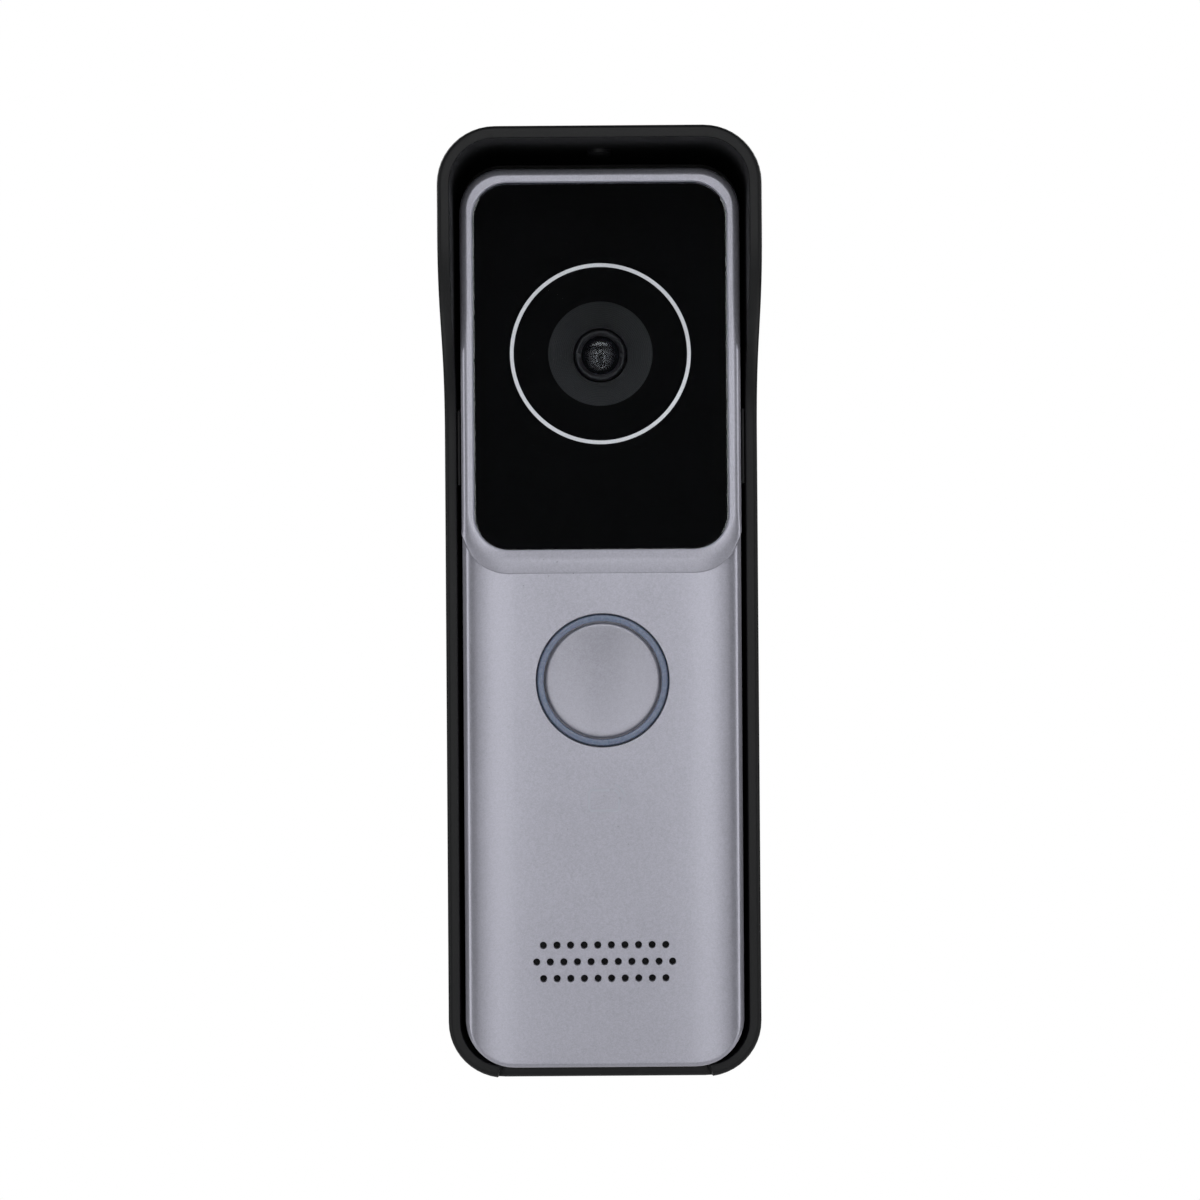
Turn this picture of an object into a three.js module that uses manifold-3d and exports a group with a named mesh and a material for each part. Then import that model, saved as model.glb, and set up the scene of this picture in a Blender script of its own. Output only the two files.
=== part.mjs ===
// A wall-mounted video doorbell in a rain hood, in millimetres, +Z up.
// The wall is the plane y = 0, the front faces -Y, and the origin is the middle of the hood's back face.
// Depths are distances from the wall, so a depth of 26 is the plane y = -26.

import * as THREE from "three";
import { mergeVertices } from "three/addons/utils/BufferGeometryUtils.js";
import Module from "manifold-3d";

// ---------- driving dimensions ----------

// Rain hood
const HOOD_WIDTH = 49.0;
const HOOD_LIP_WIDTH = 49.7;
const HOOD_HEIGHT = 147.8;
const HOOD_RADIUS = 8.8;
const HOOD_WALL = 1.9;
const HOOD_PLATE = 2.0;
const EAVE_DEPTH = 41;
const EAVE_BOTTOM = 58;
const SIDE_DEPTH = 19.6;
const SIDE_TOP = 28;
const FOOT_DEPTH = 20.8;
const FOOT_NOTCH_DEPTH = 19.0;
const FOOT_NOTCH_HALF = 16;
const CABLE_HOLE_HALF = 13;
const CABLE_HOLE_RISE = 10;
const CABLE_HOLE_RADIUS = 3;
const WALL_SCREWS = [[-13, 60], [13, 60], [-13, -56], [13, -56]];
const WALL_SCREW_RADIUS = 2.1;
const WALL_SCREW_SINK_RADIUS = 3.9;
const WALL_SCREW_SINK_REAR = 0.6;

// Housing
const BODY_WIDTH = 43.8;
const BODY_TOP = 68.8;
const BODY_BOTTOM = -71.7;
const BODY_RADIUS_TOP = 6.8;
const BODY_RADIUS_BOTTOM = 7.7;
const BODY_REAR = 2.3;
const BODY_WALL = 1.6;
const REAR_FLOOR = 3.8;
const SPLIT = 13.2;
const SKIRT_REAR = 14.0;
const SKIRT_SHOULDER = 15.3;
const TONGUE_FRONT = 15.0;
const FACE = 26.0;
const FACE_INSIDE = 24.4;
const CROWN_DROP = 4.5;
const CROWN_DROP_INSIDE = 4.2;
const CROWN_POWER = 5;
const CROWN_STEPS = 9;
const EDGE_ROUND = 0.7;

// Raised pod round the window, and the window. The pod's chin slopes back to the face.
const POD_HALF = 21.88;
const POD_BOTTOM = 5.5;
const POD_TOP = 68.78;
const POD_RADIUS_TOP = 6.76;
const POD_RADIUS_BOTTOM = 7.4;
const POD_STEP = 26.1;
const POD_FRONT = 27.0;
const POD_ROUND = 1.25;
const POD_FOOT_REAR = 20;
const CHIN_RISE = 3.0;
const GLASS_HALF = 19.85;
const GLASS_BOTTOM = 9.2;
const GLASS_TOP = 66.5;
const GLASS_RADIUS = 5.5;
const GLASS_REAR = 26.4;
const GLASS_FRONT = 27.3;
const GLASS_BEVEL = 0.3;
const FILM_INSET = 0.15;
const FILM_THICK = 0.15;
const GLASS_GAP = 0.2;
const SHELF_FRONT = 25.8;
const LEDGE = 3.05;

// Camera
const LENS_Z = 39.8;
const WINDOW_RADIUS = 8.15;
const GROOVE_RADIUS = 4.3;
const BARREL_RADIUS = 4.0;
const ELEMENT_RADIUS = 3.1;
const CAMERA_BOARD_REAR = 6.8;
const CAMERA_BOARD_FRONT = 8.0;
const FILTER_HALF = 2.45;
const FILTER_HIGH = 3.3;
const FILTER_TRAVEL = 5.0;

// Call button
const BUTTON_Z = -11.2;
const BUTTON_HOLE_RADIUS = 10.45;
const RING_OUTER = 10.2;
const RING_INNER = 9.25;
const CAP_RADIUS = 9.0;
const RING_LED_COUNT = 4;
const RING_LED_RADIUS = 10.7;

// Sound holes
const GRILLE_Z = -55.15;
const GRILLE_PITCH = 2.125;
const GRILLE_ROW_STEP = 2.6;
const GRILLE_ROWS = [10, 11, 10];
const GRILLE_HOLE_RADIUS = 0.55;

// Boards
const BOARD_REAR = 14.6;
const BOARD_FRONT = 15.8;
const BOARD_HALF = 19;
const BOARD_TOP = 6;
const BOARD_BOTTOM = -58;

// Fasteners
const CASE_SCREWS = [[-16.6, 61.3], [16.6, 61.3], [-16.6, -64.3], [16.6, -64.3]];
const BOARD_BOSSES = [[-16.3, 1.5], [16.3, -52], [16.3, 1.5], [-16.3, -52]];
const BOARD_SCREWS = BOARD_BOSSES.slice(0, 2);
const CAMERA_POSTS = [[-13.6, 23], [13.6, 54], [13.6, 23], [-13.6, 54]];
const CAMERA_SCREWS = CAMERA_POSTS.slice(0, 2);
const RETAINING_SCREW_DEPTH = 9;
const RETAINING_HEAD_RADIUS = 2.8;
const RETAINING_SHANK_RADIUS = 1.4;
const RETAINING_HEAD_HEIGHT = 1.35;
const RETAINING_PLAY = 0.3;
const RETAINING_LENGTH = 10;
const HOOK_X = 9;
const HOOK_Z = 45;
const HOOK_HALF = 2;
const HOOK_FRONT = 5.3;
const HOOK_TIP_THICK = 1.2;
const HOOK_TIP_RISE = 4;
const HOOK_STEM_HALF = 1.5;

// Nub under the roof that the top of the housing rests against
const NUB_HALF = 1.9;
const NUB_REAR = 15.5;
const NUB_FRONT = 23;
const NUB_DROP = 0.9;
const NUB_SUNK = 0.6;

// Microphone, in the bottom wall
const MICROPHONE_X = -9;
const MICROPHONE_DEPTH = 21.2;
const MICROPHONE_BOTTOM = -68.8;

// Wiring and reset
const CABLE_Z = -25;
const RESET_X = 11;
const RESET_Z = -4;

// Smoothness of round shapes: sides of a turned shape, and steps in half a round corner
const FINE_ROUND = 36;
const ROUND = 20;
const SMALL_ROUND = 12;
const HOLE_ROUND = 6;
const CORNER_STEPS = 4;

// ---------- solids ----------

const wasm = await Module();
wasm.setup();

/** A closed three.js geometry as a manifold solid. */
function solidOf(geometry) {
  const bare = geometry.clone();
  bare.deleteAttribute("normal");
  bare.deleteAttribute("uv");
  const merged = mergeVertices(bare, 1e-4);
  const corners = merged.index.array;
  const triVerts = [];
  for (let i = 0; i < corners.length; i += 3) {
    const [a, b, c] = [corners[i], corners[i + 1], corners[i + 2]];
    if (a !== b && b !== c && c !== a) triVerts.push(a, b, c);
  }
  return new wasm.Manifold(new wasm.Mesh({
    numProp: 3,
    vertProperties: new Float32Array(merged.attributes.position.array),
    triVerts: new Uint32Array(triVerts),
  }));
}

/** A manifold solid as a three.js geometry. */
function geometryOf(solid) {
  const mesh = solid.getMesh();
  const geometry = new THREE.BufferGeometry();
  geometry.setAttribute("position", new THREE.BufferAttribute(mesh.vertProperties, 3));
  geometry.setIndex(new THREE.BufferAttribute(mesh.triVerts, 1));
  return geometry;
}

/** All of the solids as one. */
function joined(...solids) {
  return solids.reduce((whole, solid) => whole.add(solid));
}

/** The first solid with the others taken away. */
function cut(base, ...tools) {
  return tools.reduce((left, tool) => left.subtract(tool), base);
}

/** An outline in X and Z, extruded between two depths. */
function slab(shape, rear, front, bevel = 0) {
  const geometry = new THREE.ExtrudeGeometry(shape, {
    depth: front - rear - 2 * bevel,
    curveSegments: CORNER_STEPS,
    bevelEnabled: bevel > 0,
    bevelThickness: bevel,
    bevelSize: bevel,
    bevelOffset: -bevel,
    bevelSegments: bevel > 0.5 ? 2 : 1,
  });
  geometry.rotateX(Math.PI / 2);
  geometry.translate(0, -rear - bevel, 0);
  return geometry;
}

/** A straight-sided outline in depth and Z. */
function sideOutline(points) {
  return new THREE.Shape(points.map(([depth, z]) => new THREE.Vector2(-depth, z)));
}

/** An outline in Y and Z, extruded across X. */
function across(outline, xLow, xHigh) {
  const depth = xHigh - xLow;
  const geometry = new THREE.ExtrudeGeometry(outline, { depth, bevelEnabled: false, curveSegments: 14 });
  const turn = new THREE.Matrix4().makeBasis(
    new THREE.Vector3(0, 1, 0),
    new THREE.Vector3(0, 0, 1),
    new THREE.Vector3(1, 0, 0),
  );
  geometry.applyMatrix4(turn);
  geometry.translate(xLow, 0, 0);
  return solidOf(geometry);
}

/** A rectangle with round corners in X and Z. */
function rounded(halfWidth, bottom, top, radiusTop, radiusBottom = radiusTop) {
  const shape = new THREE.Shape();
  shape.moveTo(-halfWidth + radiusBottom, bottom);
  shape.lineTo(halfWidth - radiusBottom, bottom);
  shape.absarc(halfWidth - radiusBottom, bottom + radiusBottom, radiusBottom, -Math.PI / 2, 0);
  shape.lineTo(halfWidth, top - radiusTop);
  shape.absarc(halfWidth - radiusTop, top - radiusTop, radiusTop, 0, Math.PI / 2);
  shape.lineTo(-halfWidth + radiusTop, top);
  shape.absarc(-halfWidth + radiusTop, top - radiusTop, radiusTop, Math.PI / 2, Math.PI);
  shape.lineTo(-halfWidth, bottom + radiusBottom);
  shape.absarc(-halfWidth + radiusBottom, bottom + radiusBottom, radiusBottom, Math.PI, 1.5 * Math.PI);
  return shape;
}

/** The outline of the housing, drawn in from its outside by an inset. */
function bodyOutline(inset) {
  return rounded(
    BODY_WIDTH / 2 - inset,
    BODY_BOTTOM + inset,
    BODY_TOP - inset,
    BODY_RADIUS_TOP - inset,
    BODY_RADIUS_BOTTOM - inset,
  );
}

/** The outline of the window, grown by an amount. */
function glassOutline(grow) {
  return rounded(GLASS_HALF + grow, GLASS_BOTTOM - grow, GLASS_TOP + grow, GLASS_RADIUS + grow);
}

/** A box from its limits in X, depth and Z. */
function box(xLow, xHigh, rear, front, zLow, zHigh) {
  const geometry = new THREE.BoxGeometry(xHigh - xLow, front - rear, zHigh - zLow);
  geometry.translate((xLow + xHigh) / 2, -(rear + front) / 2, (zLow + zHigh) / 2);
  return solidOf(geometry);
}

/** Profile points for a lathe: anticlockwise, from axis to axis, or closed on themselves off the axis. */
function lathePoints(points) {
  const doubleArea = points.reduce((sum, p, i) => {
    const q = points[(i + 1) % points.length];
    return sum + p.x * q.y - q.x * p.y;
  }, 0);
  const turning = doubleArea < 0 ? points.reverse() : points;
  const start = turning.findIndex((p, i) => p.x === 0 && turning.at(i - 1).x === 0);
  if (start < 0) return [...turning, turning[0].clone()];
  return [...turning.slice(start), ...turning.slice(0, start)];
}

/** A turned shape about a line along Y; the profile gives radius and depth. */
function turned(profile, x = 0, z = 0, segments = ROUND) {
  const points = lathePoints(profile.map(([radius, depth]) => new THREE.Vector2(radius, -depth)));
  const geometry = new THREE.LatheGeometry(points, segments);
  geometry.translate(x, 0, z);
  return solidOf(geometry);
}

/** A plain round rod along Y. */
function rod(radius, rear, front, x, z, segments = SMALL_ROUND) {
  return turned([[0, rear], [radius, rear], [radius, front], [0, front]], x, z, segments);
}

/** A turned shape about a vertical line; the profile gives radius and height. */
function turnedUpright(profile, x, depth, segments = SMALL_ROUND) {
  const points = lathePoints(profile.map(([radius, height]) => new THREE.Vector2(radius, height)));
  const geometry = new THREE.LatheGeometry(points, segments);
  geometry.rotateX(Math.PI / 2);
  geometry.translate(x, -depth, 0);
  return solidOf(geometry);
}

// ---------- finishes ----------

const FINISHES = {
  hoodPlastic: { color: 0x16171a, roughness: 0.55, metalness: 0 },
  shellPlastic: { color: 0x1b1c1f, roughness: 0.6, metalness: 0 },
  silverPaint: { color: 0x9e9eaa, roughness: 0.42, metalness: 0.55 },
  clearGlass: { color: 0x0e0f12, roughness: 0.05, metalness: 0 },
  blackFilm: { color: 0x050506, roughness: 0.4, metalness: 0 },
  tape: { color: 0x202020, roughness: 0.8, metalness: 0 },
  darkMatt: { color: 0x2a2a2c, roughness: 0.7, metalness: 0 },
  lensGlass: { color: 0x101218, roughness: 0.03, metalness: 0 },
  rubber: { color: 0x1d1d1e, roughness: 0.8, metalness: 0 },
  silicone: { color: 0xb9bcc2, roughness: 0.6, metalness: 0 },
  lightGuide: { color: 0x79859e, roughness: 0.3, metalness: 0 },
  board: { color: 0x0f4a34, roughness: 0.5, metalness: 0 },
  chip: { color: 0x17181a, roughness: 0.5, metalness: 0 },
  tin: { color: 0xb5b7ba, roughness: 0.35, metalness: 0.9 },
  copper: { color: 0xb06a3c, roughness: 0.4, metalness: 0.9 },
  steel: { color: 0x8f9194, roughness: 0.35, metalness: 1 },
  diode: { color: 0xe8e6d8, roughness: 0.4, metalness: 0 },
  terminal: { color: 0x1f7a45, roughness: 0.5, metalness: 0 },
  cone: { color: 0x2b2420, roughness: 0.7, metalness: 0 },
};

/** A named piece with a material of its own. */
function piece(name, solid, finish) {
  const mesh = new THREE.Mesh(geometryOf(solid), new THREE.MeshStandardMaterial(FINISHES[finish]));
  mesh.name = name;
  return mesh;
}

// ---------- rain hood ----------

/** The outline of the cable opening, drawn in by an inset. */
function cableOutline(inset) {
  const rise = CABLE_HOLE_RISE - inset;
  return rounded(CABLE_HOLE_HALF - inset, CABLE_Z - rise, CABLE_Z + rise, CABLE_HOLE_RADIUS - inset);
}

/** Widens a moulding evenly from the wall to the eave, as its draft does. */
function drafted(geometry) {
  const place = geometry.attributes.position;
  const flare = (HOOD_LIP_WIDTH / HOOD_WIDTH - 1) / EAVE_DEPTH;
  for (let i = 0; i < place.count; i += 1) {
    place.setX(i, place.getX(i) * (1 - flare * place.getY(i)));
  }
  return solidOf(geometry);
}

/** The side view of the hood: a deep eave that sweeps back to shallow side walls. */
function hoodSideView() {
  const past = 2;
  const high = HOOD_HEIGHT / 2 + past;
  const sweep = (EAVE_BOTTOM - SIDE_TOP) / 2;
  const side = new THREE.Shape();
  side.moveTo(past, -high);
  side.lineTo(past, high);
  side.lineTo(-EAVE_DEPTH, high);
  side.lineTo(-EAVE_DEPTH, EAVE_BOTTOM);
  const leaving = [-EAVE_DEPTH, EAVE_BOTTOM - sweep];
  const arriving = [-SIDE_DEPTH, SIDE_TOP + sweep];
  side.bezierCurveTo(...leaving, ...arriving, -SIDE_DEPTH, SIDE_TOP);
  side.lineTo(-FOOT_DEPTH, -high);
  return side;
}

/** A countersunk hole for a wall screw. */
function wallScrewHole(x, z) {
  const past = 1;
  const mouth = HOOD_PLATE + 0.1;
  return turned([
    [0, -past],
    [WALL_SCREW_RADIUS, -past],
    [WALL_SCREW_RADIUS, WALL_SCREW_SINK_REAR],
    [WALL_SCREW_SINK_RADIUS, mouth],
    [WALL_SCREW_SINK_RADIUS, mouth + past],
    [0, mouth + past],
  ], x, z, SMALL_ROUND);
}

/** An upturned hook that the housing hangs on. */
function hook(x) {
  const [left, right] = [x - HOOK_HALF, x + HOOK_HALF];
  const rooted = HOOD_PLATE - 0.5;
  const stem = box(left, right, rooted, HOOK_FRONT, HOOK_Z - HOOK_STEM_HALF, HOOK_Z + HOOK_STEM_HALF);
  const tip = box(left, right, HOOK_FRONT - HOOK_TIP_THICK, HOOK_FRONT, HOOK_Z, HOOK_Z + HOOK_TIP_RISE);
  return joined(stem, tip);
}

/** The hole in the floor of the hood for the retaining screw and its sunk head. */
function retainingHole() {
  const bottom = -HOOD_HEIGHT / 2;
  const past = 1;
  const headRadius = RETAINING_HEAD_RADIUS + RETAINING_PLAY;
  const shankRadius = RETAINING_SHANK_RADIUS + RETAINING_PLAY;
  const headFoot = bottom + 0.1;
  const top = bottom + HOOD_WALL + past;
  return turnedUpright([
    [0, bottom - past],
    [headRadius, bottom - past],
    [headRadius, headFoot],
    [shankRadius, headFoot + 1.3],
    [shankRadius, top],
    [0, top],
  ], 0, RETAINING_SCREW_DEPTH);
}

/** The nub under the roof: a bar with a round front end. */
function roofNub() {
  const outline = new THREE.Shape();
  outline.moveTo(-NUB_HALF, -NUB_REAR);
  outline.lineTo(-NUB_HALF, -NUB_FRONT);
  outline.absarc(0, -NUB_FRONT, NUB_HALF, Math.PI, 2 * Math.PI);
  outline.lineTo(NUB_HALF, -NUB_REAR);
  const depth = NUB_DROP + NUB_SUNK;
  const geometry = new THREE.ExtrudeGeometry(outline, { depth, bevelEnabled: false, curveSegments: 4 });
  geometry.translate(0, 0, HOOD_HEIGHT / 2 - HOOD_WALL - NUB_DROP);
  return solidOf(geometry);
}

function rainHood() {
  const high = HOOD_HEIGHT / 2;
  const half = HOOD_WIDTH / 2;
  const past = 1;
  const outside = drafted(slab(rounded(half, -high, high, HOOD_RADIUS), 0, EAVE_DEPTH + past));
  const innerRadius = HOOD_RADIUS - HOOD_WALL;
  const innerShape = rounded(half - HOOD_WALL, -high + HOOD_WALL, high - HOOD_WALL, innerRadius);
  const inside = drafted(slab(innerShape, HOOD_PLATE, EAVE_DEPTH + 2 * past));
  const walls = cut(outside, inside).intersect(across(hoodSideView(), -HOOD_WIDTH, HOOD_WIDTH));
  const foot = -high + HOOD_RADIUS;
  const drain = box(-FOOT_NOTCH_HALF, FOOT_NOTCH_HALF, FOOT_NOTCH_DEPTH, EAVE_DEPTH, -high - past, foot);
  const cable = solidOf(slab(cableOutline(0), -past, HOOD_PLATE + past));
  const wallHoles = WALL_SCREWS.map(([x, z]) => wallScrewHole(x, z));
  const moulding = cut(walls, drain, cable, retainingHole(), ...wallHoles);
  return joined(moulding, hook(-HOOK_X), hook(HOOK_X), roofNub());
}

function cableGrommet() {
  const play = 0.3;
  const thick = 1.4;
  const ring = solidOf(slab(cableOutline(play), 0.1, HOOD_PLATE - 0.05));
  return cut(ring, solidOf(slab(cableOutline(play + thick), -1, HOOD_PLATE + 1)));
}

function retainingScrew() {
  const underside = -HOOD_HEIGHT / 2 + 0.15;
  const neck = underside + RETAINING_HEAD_HEIGHT;
  const tip = -HOOD_HEIGHT / 2 + RETAINING_LENGTH;
  const screw = turnedUpright([
    [0, underside],
    [RETAINING_HEAD_RADIUS, underside],
    [RETAINING_SHANK_RADIUS, neck],
    [RETAINING_SHANK_RADIUS, tip - 1],
    [0, tip],
  ], 0, RETAINING_SCREW_DEPTH);
  const slotRear = RETAINING_SCREW_DEPTH - 0.3;
  const slotFront = RETAINING_SCREW_DEPTH + 0.3;
  const slot = box(-2, 2, slotRear, slotFront, underside - 1, underside + 0.55);
  return cut(screw, slot);
}

// ---------- housing ----------

/** The rear half: a tray with screw posts, hook pockets and the wiring chimney. */
function rearShell() {
  const tray = solidOf(slab(bodyOutline(0), BODY_REAR, SPLIT + 2, EDGE_ROUND));
  const front = box(-BODY_WIDTH, BODY_WIDTH, SPLIT, SPLIT + 5, BODY_BOTTOM - 1, BODY_TOP + 1);
  const tongue = solidOf(slab(bodyOutline(1.0), REAR_FLOOR, TONGUE_FRONT));
  const hollow = solidOf(slab(bodyOutline(BODY_WALL), REAR_FLOOR, SPLIT + 4));
  const casePosts = CASE_SCREWS.map(([x, z]) => rod(3.4, REAR_FLOOR - 0.5, 13.6, x, z));
  const caseHoles = CASE_SCREWS.map(([x, z]) =>
    turned([[0, 1], [2.6, 1], [2.6, 5.2], [1.35, 5.2], [1.35, 15], [0, 15]], x, z, SMALL_ROUND));
  const cameraPosts = CAMERA_POSTS.map(([x, z]) => rod(2.1, REAR_FLOOR - 0.5, 6.5, x, z));
  const cameraHoles = CAMERA_SCREWS.map(([x, z]) => rod(0.95, 4.6, 8, x, z));
  const pockets = [-HOOK_X, HOOK_X].map((x) =>
    box(x - 3.4, x + 3.4, REAR_FLOOR - 0.5, 6.5, HOOK_Z - 4.8, HOOK_Z + 7.3));
  const pocketRooms = [-HOOK_X, HOOK_X].map((x) =>
    box(x - 2.5, x + 2.5, REAR_FLOOR, 5.7, HOOK_Z - 4, HOOK_Z + 6.5));
  const pocketMouths = [-HOOK_X, HOOK_X].map((x) =>
    box(x - 2.5, x + 2.5, 1, 5, HOOK_Z - 4, HOOK_Z + 1.8));
  const chimney = box(-12.2, 12.2, REAR_FLOOR - 0.5, 14.2, CABLE_Z - 7.2, CABLE_Z + 7.2);
  const shaft = solidOf(slab(rounded(11, CABLE_Z - 6, CABLE_Z + 6, 1), 1, 16));
  const resetGuide = rod(2.9, REAR_FLOOR - 0.5, 7.5, RESET_X, RESET_Z);
  const resetHole = rod(1.6, 1, 9, RESET_X, RESET_Z);
  const bottomBlock = box(-4.5, 4.5, REAR_FLOOR - 0.5, 13, BODY_BOTTOM + 1, BODY_BOTTOM + 9);
  const bottomHole = turnedUpright(
    [[0, BODY_BOTTOM - 1], [1.7, BODY_BOTTOM - 1], [1.7, BODY_BOTTOM + 8.2], [0, BODY_BOTTOM + 8.2]],
    0,
    RETAINING_SCREW_DEPTH,
  );
  const empty = cut(joined(cut(tray, front), tongue), hollow);
  const filled = joined(empty, ...casePosts, ...cameraPosts, ...pockets, chimney, resetGuide, bottomBlock);
  return cut(
    filled,
    ...caseHoles,
    ...cameraHoles,
    ...pocketRooms,
    ...pocketMouths,
    shaft,
    resetHole,
    bottomHole,
  );
}

function caseSeal() {
  const outer = solidOf(slab(bodyOutline(0.1), SPLIT + 0.1, SKIRT_REAR - 0.1));
  return cut(outer, solidOf(slab(bodyOutline(0.7), SPLIT - 1, SKIRT_REAR + 1)));
}

/** The cross-section of the cover along its whole height: nearly flat, and rounder towards the sides. */
function crown(halfWidth, face, drop) {
  const arc = [];
  for (let i = 0; i <= CROWN_STEPS; i += 1) {
    const angle = (i / CROWN_STEPS) * (Math.PI / 2);
    const across = halfWidth * Math.cos(angle) ** (2 / CROWN_POWER);
    arc.push([across, face - drop + drop * Math.sin(angle) ** (2 / CROWN_POWER)]);
  }
  const otherSide = arc.slice(0, -1).reverse().map(([x, depth]) => [-x, depth]);
  const outline = [[-halfWidth, 0], [halfWidth, 0], ...arc, ...otherSide];
  const section = new THREE.Shape(outline.map(([x, depth]) => new THREE.Vector2(x, depth)));
  const past = 2;
  const height = BODY_TOP - BODY_BOTTOM + 2 * past;
  const geometry = new THREE.ExtrudeGeometry(section, { depth: height, bevelEnabled: false });
  geometry.rotateZ(Math.PI);
  geometry.translate(0, 0, BODY_BOTTOM - past);
  return solidOf(geometry);
}

/** The pod that stands proud round the window, with a round rim and a chin that slopes back. */
function pod() {
  const outline = rounded(POD_HALF, POD_BOTTOM, POD_TOP, POD_RADIUS_TOP, POD_RADIUS_BOTTOM);
  const geometry = slab(outline, POD_FOOT_REAR, POD_FRONT, POD_ROUND);
  const place = geometry.attributes.position;
  for (let i = 0; i < place.count; i += 1) {
    const proud = Math.max(0, -place.getY(i) - POD_STEP) / (POD_FRONT - POD_STEP);
    const down = (POD_TOP - place.getZ(i)) / (POD_TOP - POD_BOTTOM);
    place.setZ(i, place.getZ(i) + CHIN_RISE * proud * down);
  }
  const foot = solidOf(slab(outline, POD_FOOT_REAR, POD_STEP));
  return joined(foot, solidOf(geometry));
}

/** The sound holes, in three rows. */
function soundHoles() {
  const holes = [];
  GRILLE_ROWS.forEach((count, row) => {
    const z = GRILLE_Z + (1 - row) * GRILLE_ROW_STEP;
    for (let i = 0; i < count; i += 1) {
      const x = (i - (count - 1) / 2) * GRILLE_PITCH;
      holes.push(rod(GRILLE_HOLE_RADIUS, FACE_INSIDE - 1, FACE + 1, x, z, HOLE_ROUND));
    }
  });
  return holes;
}

/** The silver front half, with its pod, window shelf, button hole, sound holes and inner bosses. */
function frontCover() {
  const block = solidOf(slab(bodyOutline(0), SKIRT_REAR - 2, FACE, EDGE_ROUND));
  const behind = box(-BODY_WIDTH, BODY_WIDTH, 0, SKIRT_REAR, BODY_BOTTOM - 1, BODY_TOP + 1);
  const outside = joined(block.intersect(crown(BODY_WIDTH / 2, FACE, CROWN_DROP)), pod());
  const skirtRoom = solidOf(slab(bodyOutline(0.7), SKIRT_REAR - 3, SKIRT_SHOULDER));
  const room = solidOf(slab(bodyOutline(BODY_WALL), SKIRT_REAR - 3, FACE_INSIDE));
  const ceiling = crown(BODY_WIDTH / 2 - BODY_WALL, FACE_INSIDE, CROWN_DROP_INSIDE);
  const windowSeat = solidOf(slab(glassOutline(GLASS_GAP), SHELF_FRONT, POD_FRONT + 2));
  const windowHole = solidOf(slab(glassOutline(-LEDGE), FACE_INSIDE - 1, POD_FRONT));
  const buttonHole = rod(BUTTON_HOLE_RADIUS, FACE_INSIDE - 1, FACE + 1, 0, BUTTON_Z, FINE_ROUND);
  const microphoneHole = turnedUpright(
    [[0, BODY_BOTTOM - 1], [0.6, BODY_BOTTOM - 1], [0.6, BODY_BOTTOM + 3], [0, BODY_BOTTOM + 3]],
    MICROPHONE_X,
    MICROPHONE_DEPTH,
    HOLE_ROUND,
  );
  const caseBosses = CASE_SCREWS.map(([x, z]) => rod(2.6, 13.9, FACE_INSIDE + 0.2, x, z));
  const caseHoles = CASE_SCREWS.map(([x, z]) => rod(1.2, 10, 21.5, x, z));
  const boardBosses = BOARD_BOSSES.map(([x, z]) => rod(2.3, BOARD_FRONT + 0.2, FACE_INSIDE + 0.2, x, z));
  const boardHoles = BOARD_SCREWS.map(([x, z]) => rod(1.15, 12, 22, x, z));
  const holes = [windowSeat, windowHole, buttonHole, microphoneHole];
  const shell = cut(outside, behind, skirtRoom, room.intersect(ceiling), ...holes);
  return cut(
    joined(shell, ...caseBosses, ...boardBosses),
    ...caseHoles,
    ...boardHoles,
    windowSeat,
    ...soundHoles(),
  );
}

function frontGlass() {
  return solidOf(slab(glassOutline(0), GLASS_REAR, GLASS_FRONT, GLASS_BEVEL));
}

function glassMaskFilm() {
  const front = GLASS_REAR - 0.1;
  const sheet = solidOf(slab(glassOutline(-FILM_INSET), front - FILM_THICK, front));
  return cut(sheet, rod(WINDOW_RADIUS, 20, 30, 0, LENS_Z, FINE_ROUND));
}

function glassTape() {
  const frame = solidOf(slab(glassOutline(-FILM_INSET), SHELF_FRONT + 0.05, GLASS_REAR - 0.3));
  return cut(frame, solidOf(slab(glassOutline(-LEDGE + 0.4), 20, 30)));
}

/** A self-tapping screw from the back, with a round head and a cross slot. */
function screw(x, z, headRear, headRadius, headHeight, shankRadius, tip) {
  const profile = [
    [0, headRear],
    [headRadius, headRear],
    [headRadius, headRear + headHeight],
    [shankRadius, headRear + headHeight],
    [shankRadius, tip - 1],
    [0, tip],
  ];
  const body = turned(profile, x, z, SMALL_ROUND);
  const slotDepth = headRear + headHeight * 0.45;
  const armHalf = headRadius * 0.6;
  const armWidth = headRadius * 0.14;
  const slotAcross = box(x - armHalf, x + armHalf, headRear - 1, slotDepth, z - armWidth, z + armWidth);
  const slotUp = box(x - armWidth, x + armWidth, headRear - 1, slotDepth, z - armHalf, z + armHalf);
  return cut(body, slotAcross, slotUp);
}

/** A screw from the front, as the camera board's. */
function frontScrew(x, z) {
  const seat = CAMERA_BOARD_FRONT + 0.1;
  const profile = [[0, 5], [0.8, 5.4], [0.8, seat], [1.8, seat], [1.8, seat + 1.1], [0, seat + 1.1]];
  return turned(profile, x, z, SMALL_ROUND);
}

// ---------- camera, built round its own axis ----------

function lensBaffleCone() {
  return turned([
    [WINDOW_RADIUS, 26.0],
    [WINDOW_RADIUS + 0.8, 26.0],
    [GROOVE_RADIUS + 0.9, 21.2],
    [GROOVE_RADIUS + 0.9, 18.1],
    [GROOVE_RADIUS, 18.1],
    [GROOVE_RADIUS, 21.7],
  ]);
}

function lensBarrel() {
  return turned([
    [BARREL_RADIUS, 12.2],
    [BARREL_RADIUS, 21.6],
    [3.3, 21.6],
    [3.3, 19.3],
    [2.3, 19.3],
    [2.3, 15.4],
    [2.9, 15.4],
    [2.9, 12.2],
  ]);
}

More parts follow.
